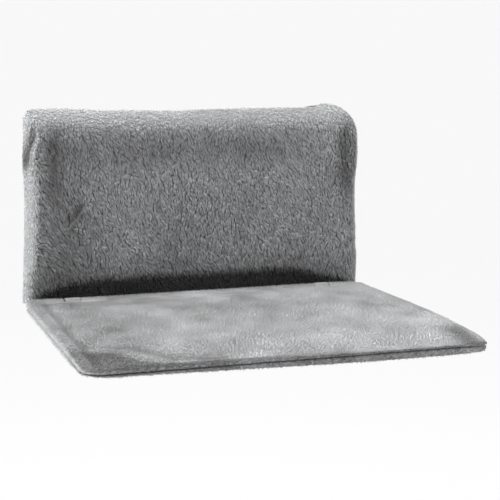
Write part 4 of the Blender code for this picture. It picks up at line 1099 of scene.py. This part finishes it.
def platform_brushing_and_painted_light(places, normals):
    """Brightness, length and paleness at the root of the platform's pile.

    It is darker where it was brushed away, and coarser in the folded corner, on the left rim and round
    the front. Painted shade darkens the crease, the left groove, the lower front edge and the rear edge,
    and a painted highlight brightens the left-facing side.
    """
    x, y, z = places[:, 0], places[:, 1], places[:, 2]
    patch = Waves(72, 0.090, (1.0, 1.8, 1.0))(places)
    small = Waves(74, 0.034, (1.0, 1.8, 1.0))(places)
    coarse = Waves(76, 0.0022, (1.0, 1.8, 1.0))(places)
    flat = smoothstep(0.5, 0.8, normals[:, 2])
    # The folded corner, the crease round it, which gets painted shade, and the ridge beside the crease
    signed, along = across_line(places[:, :2], FOLD_LINE)
    middle = between(0.05, 0.25, 0.85, 1.0, along) * flat
    corner = smoothstep(0.009, 0.032, -signed) * (1.0 - smoothstep(-0.13, -0.03, x)) * flat
    crease = hump(signed, 0.0090, 0.0100) * middle
    ridge = hump(signed, -0.0100, 0.0060) * middle
    # The brushed right corner, and on the left the groove, which gets painted shade, the rim, and the
    # side, which gets a painted highlight
    brushed = hump(x, 0.2140 + 0.10 * (y + 0.360), 0.014) * (1.0 - smoothstep(-0.364, -0.318, y)) * flat
    groove = hump(x, -0.2110, 0.006) * smoothstep(-0.40, -0.36, y) * flat
    strip = smoothstep(0.215, 0.220, -x) * smoothstep(0.0, 0.3, normals[:, 2])
    side = smoothstep(0.4, 0.8, -normals[:, 0])
    # The lower half of the front edge, which gets painted shade, and the dark line along its top
    level = -0.2168 - 0.0025 * smoothstep(-0.08, 0.11, x)
    ahead = 1.0 - smoothstep(-0.409, -0.401, y)
    front = ahead * (1.0 - smoothstep(level - 0.001, level + 0.0006, z))
    seam = ahead * hump(z, level, 0.0012)
    rough = np.clip(corner + strip + front + seam + brushed, 0.0, 1.0)
    tone = 0.550 + 0.042 * patch + 0.040 * small + 0.11 * smoothstep(-0.12, 0.22, x)
    # The left rim strip is paler, and the left-facing side gets a painted highlight
    tone = tone + rough * 0.18 * coarse - 0.06 * ridge + 0.20 * strip + 0.25 * side
    # Painted shade along the rear edge, beside the back
    tone = tone - 0.12 * (1.0 - smoothstep(0.004, 0.020, HINGE_AXIS[1] - y))
    # Darker where brushed, in the folded corner and along the seam line; painted shade in the crease,
    # the groove and the lower front edge
    darker_and_painted_shade = 0.40 * corner + 0.36 * crease + 0.40 * brushed
    darker_and_painted_shade = darker_and_painted_shade + 0.26 * groove + 0.12 * front + 0.30 * seam
    edges = smoothstep(0.3, 0.9, np.hypot(normals[:, 0], normals[:, 1]))
    trims = 1.0 - 0.40 * edges + 0.12 * front
    return tone * (1.0 - np.clip(darker_and_painted_shade, 0.0, 0.55)), trims, 0.86 - 0.50 * rough


def make_panel(name, node, prefix, up, count, seed):
    """One panel of the platform's sleeve, which faces up for 1 and down for -1."""
    sizes = settings().platform
    form = PlatformForm(up)
    sheet = Sheet(lambda height: form.half_width, form.rear, lambda x: form.front,
                  form.corners, form.border(), sizes.cell, form.near_corner)
    bm = sheet.mesh(form.place)
    form.notches(bm)
    mesh = mesh_from(bm, name)
    piece = add_piece(name, mesh, "platform", plush_base(name + "_base"))
    outwards(mesh, Vector((0.0, 0.0, up)))
    refined(piece)
    if up > 0.0:
        places = points_of(piece.data)
        share = smoothstep(0.5, 1.0, (places[:, 2] - form.seam) / form.skin)
        places[:, 2] += share * form.relief(places[:, 0], places[:, 1])
        move_points(piece.data, places)
        keep_face("platform", piece.data)
    plush = Plush(platform_leans, platform_brushing_and_painted_light, sizes.tuft_length, sizes.tuft_width,
                  variety=0.04, stand=0.30, group=6, share=0.25)
    plush.plant(piece, prefix, count, seed, finish=plush_pile(name + "_pile"),
                body="platform")
    thickened(piece, sizes.backing)
    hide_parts(node)


# Tabs of plush that wrap over the hinges
TAB_HALF = 0.0096
TAB_RADIUS = 0.0073
TAB_THICK = 0.0004
TAB_START = math.radians(40.0)     # from level, under the front of its bracket
TAB_TURN = math.radians(175.0)
TAB_TUFTS = 900
TAB_TUFT_LENGTH = 0.0018


def tab_leans(places):
    """The tabs' pile lies forwards, as on the platform."""
    return np.tile(np.array((0.1, -1.0, -0.3)), (len(places), 1))


def tab_brushing(places, normals):
    """Brightness, length and paleness at the root of the tabs' pile."""
    same = np.ones(len(places))
    return 0.68 + 0.02 * Waves(77, 0.006)(places), same, 0.72 * same


def make_tabs():
    """One curved tab over each hinge bracket, from under its front to the back's foot."""
    base = plush_base("tab_base")
    pile = plush_pile("tab_pile")
    plush = Plush(tab_leans, tab_brushing, TAB_TUFT_LENGTH, settings().platform.tuft_width,
                  variety=0.04, stand=0.35, group=6, share=0.25)
    pivot = Vector(HINGE_AXIS)
    for side in ("left", "right"):
        low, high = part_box("hinge_bracket_" + side)
        middle = (low.x + high.x) / 2.0
        bm = bmesh.new()
        ends = [bm.verts.new((middle + sign * TAB_HALF, pivot.y - TAB_RADIUS, pivot.z))
                for sign in (-1.0, 1.0)]
        bmesh.ops.subdivide_edges(bm, edges=[bm.edges.new(ends)], cuts=6)
        bmesh.ops.rotate(bm, verts=bm.verts, cent=pivot, matrix=Matrix.Rotation(TAB_START, 3, "X"))
        bmesh.ops.spin(bm, geom=bm.verts[:] + bm.edges[:], cent=pivot, axis=(1.0, 0.0, 0.0),
                       angle=-TAB_TURN, steps=16, use_merge=False)
        bmesh.ops.remove_doubles(bm, verts=bm.verts, dist=SAME_PLACE)
        bmesh.ops.recalc_face_normals(bm, faces=bm.faces)
        name = "hinge_tab_" + side
        mesh = mesh_from(bm, name)
        piece = add_piece(name, mesh, "back", base)
        outwards(mesh, Vector((0.0, 0.0, 1.0)))
        plush.plant(piece, name + "_pile", TAB_TUFTS, seed=800, finish=pile,
                    body="back")
        thickened(piece, TAB_THICK)


# Soft pieces inside the sleeves
FACES = {}                         # the sleeves' outer faces, which the foam stays behind
FOAM_BEHIND = 0.0020               # from the sleeve's outer face to the foam
FOAMS = (  # node, piece, body, cell, the axes that it is cut along, depth of its dents, seed
    ("foam_sleeve_left", "foam_left", "back", 0.008, (2,), 0.0006, 81),
    ("foam_sleeve_right", "foam_right", "back", 0.008, (2,), 0.0006, 82),
    ("foam_sleeve_top", "foam_top", "back", 0.008, (0,), 0.0006, 83),
    ("back_pad", "foam_back", "back", 0.010, (0, 2), 0.0008, 84),
    ("platform_foam", "foam_platform", "platform", 0.012, (0, 1), 0.0008, 85),
)


def keep_face(label, mesh):
    bm = bmesh.new()
    bm.from_mesh(mesh)
    FACES[label] = bvhtree.BVHTree.FromBMesh(bm)
    bm.free()


def pressed(places, label):
    """Points drawn in until they lie behind the sleeve's outer face."""
    for index, place in enumerate(places):
        on_face, normal, _, _ = FACES[label].find_nearest(Vector(place))
        over = (Vector(place) - on_face).dot(normal) + FOAM_BEHIND
        if over > 0.0:
            places[index] -= np.array(normal) * over
    return places


def sliced(node, name, step, axes):
    """A copy of a frame solid, cut by planes into cells that can bend and puff."""
    bm = bmesh.new()
    bm.from_mesh(bpy.data.objects[node].data)
    bmesh.ops.remove_doubles(bm, verts=bm.verts, dist=SAME_PLACE)
    bmesh.ops.dissolve_limit(bm, angle_limit=0.01, verts=bm.verts, edges=bm.edges)
    low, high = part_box(node)
    for axis in axes:
        count = max(int(round((high[axis] - low[axis]) / step)), 1)
        way = Vector([float(axis == index) for index in range(3)])
        for number in range(1, count):
            place = way * (low[axis] + (high[axis] - low[axis]) * number / count)
            bmesh.ops.bisect_plane(bm, geom=bm.verts[:] + bm.edges[:] + bm.faces[:],
                                   plane_co=place, plane_no=way)
    bmesh.ops.triangulate(bm, faces=[face for face in bm.faces if len(face.verts) > 4])
    return mesh_from(bm, name, SHARP_DEGREES)


def make_foams():
    """A foam piece with soft dents in place of each plain foam solid."""
    finish = foam_finish("open_foam", tuple(settings().colors.foam))
    for node, name, body, cell, axes, depth, seed in FOAMS:
        mesh = sliced(node, name, cell, axes)
        places = points_of(mesh)
        dents = (Waves(seed, 0.03)(places) - 1.6) * 0.35 * depth
        move_points(mesh, pressed(places + normals_of(mesh) * dents[:, None], body))
        piece = add_piece(name, mesh, body, finish)
        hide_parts(node)


def make_lining():
    finish = woven("lining_weave", tuple(settings().colors.lining), 0.0011)
    mesh = sliced("back_cover_rear", "back_lining", 0.010, (0, 2))
    places = points_of(mesh)
    places[:, 1] -= 0.0002 + 0.00018 * Waves(91, 0.06, (1.0, 1.0, 1.8))(places)
    move_points(mesh, places)
    piece = add_piece("back_lining", mesh, "back", finish)
    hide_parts("back_cover_rear")


# The zip
ZIP_PITCH = 0.0015
COIL_LENGTH = 0.42                 # of the pitch, for each turn of the coil
COIL_STAGGER = 0.25                # of the pitch, forwards in one row and backwards in the other
COIL_WIDTH = 0.56                  # of the chain's width, for each row
COIL_OFFSET = 0.2                  # of the chain's width, from its middle
COIL_HEIGHT = 0.0013
COIL_LIFT = 0.00075
COIL_SLANT = 0.12
COIL_ROUND = 0.00022


def make_zip():
    tape = add_piece("zip_band", sliced("zip_tape", "zip_band", 0.012, (0,)), "platform",
                     woven("tape_weave", (0.20, 0.20, 0.21), 0.0008))
    low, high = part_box("zip_tape")
    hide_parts("zip_tape")
    low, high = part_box("zip_chain")
    width = high.y - low.y
    middle = (low + high) / 2.0
    bm = bmesh.new()
    for number in range(int((high.x - low.x) / ZIP_PITCH)):
        x = low.x + (number + 0.5) * ZIP_PITCH
        for sign in (-1.0, 1.0):
            made = bmesh.ops.create_cube(bm, size=1.0)["verts"]
            bmesh.ops.scale(bm, verts=made,
                            vec=(ZIP_PITCH * COIL_LENGTH, width * COIL_WIDTH, COIL_HEIGHT))
            bmesh.ops.rotate(bm, verts=made, cent=(0.0, 0.0, 0.0),
                             matrix=Matrix.Rotation(COIL_SLANT * sign, 3, "Z"))
            place = (x + ZIP_PITCH * COIL_STAGGER * sign, middle.y + sign * width * COIL_OFFSET,
                     low.z + COIL_LIFT)
            bmesh.ops.translate(bm, verts=made, vec=place)
    edges = [edge for edge in bm.edges if edge.calc_length() > ZIP_PITCH]
    bmesh.ops.bevel(bm, geom=edges, offset=COIL_ROUND, offset_type="OFFSET", segments=1,
                    affect="EDGES", profile=0.5, material=-1)
    mesh = mesh_from(bm, "zip_coil", SHARP_DEGREES)
    finish = moulded("coil_nylon", (0.12, 0.12, 0.125), 0.45, 900.0)
    piece = add_piece("zip_coil", mesh, "platform", finish)
    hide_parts("zip_chain")


# Carried-over solids
def make_hardware():
    colors = settings().colors
    finishes = {
        "frame_paint": painted("frame_coat", tuple(colors.paint)),
        "zinc": plated("zinc_plate", (0.66, 0.67, 0.68)),
        "rubber": moulded("black_rubber", (0.035, 0.035, 0.037), 0.72, 500.0),
        "nylon": moulded("black_nylon", (0.045, 0.045, 0.047), 0.45, 700.0),
        "knob_plastic": moulded("knob_plastic", (0.05, 0.05, 0.052), 0.42, 800.0),
        "board": hardboard("pressed_board", tuple(colors.board)),
    }
    for node in frame["nodes"].values():
        for place in node.material_slots:
            if place.material.name in finishes:
                place.material = finishes[place.material.name]


# Stage
FLOOR_RADIUS = 5.0
FLOOR_COVE = 3.0
FLOOR_GLOW = 0.85
WORLD_STRENGTH = 0.60
WHITE = 0.97                       # what the camera sees of the backdrop
LAMPS = (("key", (-2.1, -1.1, 2.3), 1.2, 82.0), ("above", (0.3, -0.5, 2.6), 1.6, 48.0),
         ("fill", (1.8, -1.8, 0.8), 2.0, 8.0), ("behind", (0.3, 1.8, 1.6), 1.6, 14.0))
LAMP_TARGET = (0.0, -0.15, -0.1)


def aim(thing, way):
    thing.rotation_mode = "QUATERNION"
    thing.rotation_quaternion = way.to_track_quat("-Z", "Y")


def make_camera():
    rules = settings().stage
    camera = bpy.data.cameras.new("camera")
    camera.lens = rules.lens
    camera.sensor_width = 36.0
    camera.clip_start = 0.05
    camera.clip_end = 60.0
    eye = new_object("camera", camera)
    turn, drop = rules.camera_turn, rules.camera_drop
    eye.location = rules.camera_place
    aim(eye, Vector((math.sin(turn) * math.cos(drop), math.cos(turn) * math.cos(drop), -math.sin(drop))))
    bpy.context.scene.camera = eye


def make_floor():
    """A round floor whose edge curves up into the backdrop."""
    bm = bmesh.new()
    profile = [(0.001, 0.0)] + [(FLOOR_RADIUS + FLOOR_COVE * math.sin(angle),
                                 FLOOR_COVE * (1.0 - math.cos(angle)))
                                for angle in np.radians(np.linspace(0.0, 88.0, 12))]
    verts = [bm.verts.new((x, 0.0, z - settings().stage.floor_drop)) for x, z in profile]
    edges = [bm.edges.new(pair) for pair in zip(verts, verts[1:])]
    bmesh.ops.spin(bm, geom=verts + edges, cent=(0.0, 0.0, 0.0), axis=(0.0, 0.0, 1.0),
                   angle=2.0 * math.pi, steps=96, use_merge=True)
    bmesh.ops.remove_doubles(bm, verts=bm.verts, dist=0.002)
    bmesh.ops.recalc_face_normals(bm, faces=bm.faces)
    floor = new_object("floor", mesh_from(bm, "floor"))
    outwards(floor.data, Vector((0.0, 0.0, 1.0)))
    floor.data.materials.append(floor_finish())


def floor_finish():
    """Pale matt floor, lifted towards white where the camera sees it directly."""
    finish = Finish("studio_floor")
    finish.done(Base_Color=(0.86, 0.86, 0.86), Roughness=0.9, Specular_IOR_Level=0.1)
    glow = finish.node("Emission", None, {"Color": (1.0, 1.0, 1.0), "Strength": 1.0})
    camera = finish.node("LightPath", output="Is Camera Ray")
    glossy = finish.node("LightPath", output="Is Glossy Ray")
    plain = Value(finish.tree, finish.shader.outputs[0])
    blend = finish.node("MixShader", None, {0: (camera + glossy) * FLOOR_GLOW, 1: plain, 2: glow})
    finish.link(blend, finish.tree.nodes["Material Output"].inputs["Surface"])
    return finish.material


def make_world():
    world = bpy.data.worlds.new("studio")
    bpy.context.scene.world = world
    world.use_nodes = True
    tree = world.node_tree
    sky = tree.nodes["Background"]
    sky.inputs["Color"].default_value = (1.0, 1.0, 1.0, 1.0)
    path = tree.nodes.new("ShaderNodeLightPath")
    level = Value(tree, path.outputs["Is Camera Ray"]) * (WHITE - WORLD_STRENGTH) + WORLD_STRENGTH
    tree.links.new(level.socket, sky.inputs["Strength"])


def make_stage():
    make_camera()
    make_floor()
    make_world()
    for name, place, size, power in LAMPS:
        light = bpy.data.lights.new(name, "AREA")
        light.shape = "DISK"
        light.size = size
        light.energy = power
        lamp = new_object(name, light)
        lamp.location = place
        aim(lamp, Vector(LAMP_TARGET) - Vector(place))
    bpy.context.scene.view_settings.view_transform = "Standard"


# Operators
class RADIATORBED_OT_back(bpy.types.Operator):
    """Make the back's plush sleeve with its pile"""
    bl_idname = "radiator_bed.back"
    bl_label = "Plush Back"

    def execute(self, context):
        make_back()
        return {"FINISHED"}


class RADIATORBED_OT_platform(bpy.types.Operator):
    """Make the platform's two plush panels with their pile"""
    bl_idname = "radiator_bed.platform"
    bl_label = "Plush Platform"

    def execute(self, context):
        sizes = settings().platform
        make_panel("platform_plush_top", "platform_cover_top", "platform_pile",
                   up=1.0, count=sizes.tuft_count, seed=600)
        make_panel("platform_plush_under", "platform_cover_bottom", "under_pile",
                   up=-1.0, count=sizes.under_count, seed=700)
        return {"FINISHED"}


class RADIATORBED_OT_tabs(bpy.types.Operator):
    """Make the plush tabs that wrap over the hinges"""
    bl_idname = "radiator_bed.tabs"
    bl_label = "Hinge Tabs"

    def execute(self, context):
        make_tabs()
        return {"FINISHED"}


class RADIATORBED_OT_foams(bpy.types.Operator):
    """Make the foam sleeves, the back's pad and the platform's foam sheet"""
    bl_idname = "radiator_bed.foams"
    bl_label = "Foam"

    def execute(self, context):
        make_foams()
        return {"FINISHED"}


class RADIATORBED_OT_lining(bpy.types.Operator):
    """Make the woven lining behind the back"""
    bl_idname = "radiator_bed.lining"
    bl_label = "Lining"

    def execute(self, context):
        make_lining()
        return {"FINISHED"}


class RADIATORBED_OT_zip(bpy.types.Operator):
    """Make the zip's tape and coil"""
    bl_idname = "radiator_bed.zip"
    bl_label = "Zip"

    def execute(self, context):
        make_zip()
        return {"FINISHED"}


class RADIATORBED_OT_hardware(bpy.types.Operator):
    """Give the frames, hinges, hooks, knobs and other hard pieces their finishes"""
    bl_idname = "radiator_bed.hardware"
    bl_label = "Hardware Finishes"

    def execute(self, context):
        make_hardware()
        return {"FINISHED"}


class RADIATORBED_OT_stage(bpy.types.Operator):
    """Make the camera, the floor and the soft studio light"""
    bl_idname = "radiator_bed.stage"
    bl_label = "Stage"

    def execute(self, context):
        make_stage()
        return {"FINISHED"}


OPERATORS = (RADIATORBED_OT_stage, RADIATORBED_OT_back, RADIATORBED_OT_platform,
             RADIATORBED_OT_tabs, RADIATORBED_OT_foams, RADIATORBED_OT_lining, RADIATORBED_OT_zip,
             RADIATORBED_OT_hardware)


class RADIATORBED_PT_panel(bpy.types.Panel):
    """Buttons for each group of pieces, and their settings"""
    bl_label = "Radiator Bed"
    bl_space_type = "VIEW_3D"
    bl_region_type = "UI"
    bl_category = "Radiator Bed"

    def draw(self, context):
        bed = context.scene.radiator_bed
        for operator in OPERATORS:
            self.layout.operator(operator.bl_idname)
        for group in (bed.back, bed.platform, bed.colors, bed.stage):
            box = self.layout.box()
            for name in group.bl_rna.properties.keys():
                if name not in ("rna_type", "name"):
                    box.prop(group, name)


CLASSES = (BackSettings, PlatformSettings, ColorSettings, StageSettings, BedSettings,
           *OPERATORS, RADIATORBED_PT_panel)


def register():
    for item in CLASSES:
        bpy.utils.register_class(item)
    bpy.types.Scene.radiator_bed = bpy.props.PointerProperty(type=BedSettings)


def unregister():
    del bpy.types.Scene.radiator_bed
    for item in reversed(CLASSES):
        bpy.utils.unregister_class(item)


def main():
    register()
    for operator in OPERATORS:
        group, name = operator.bl_idname.split(".")
        getattr(getattr(bpy.ops, group), name)()


if __name__ == "__main__":
    main()
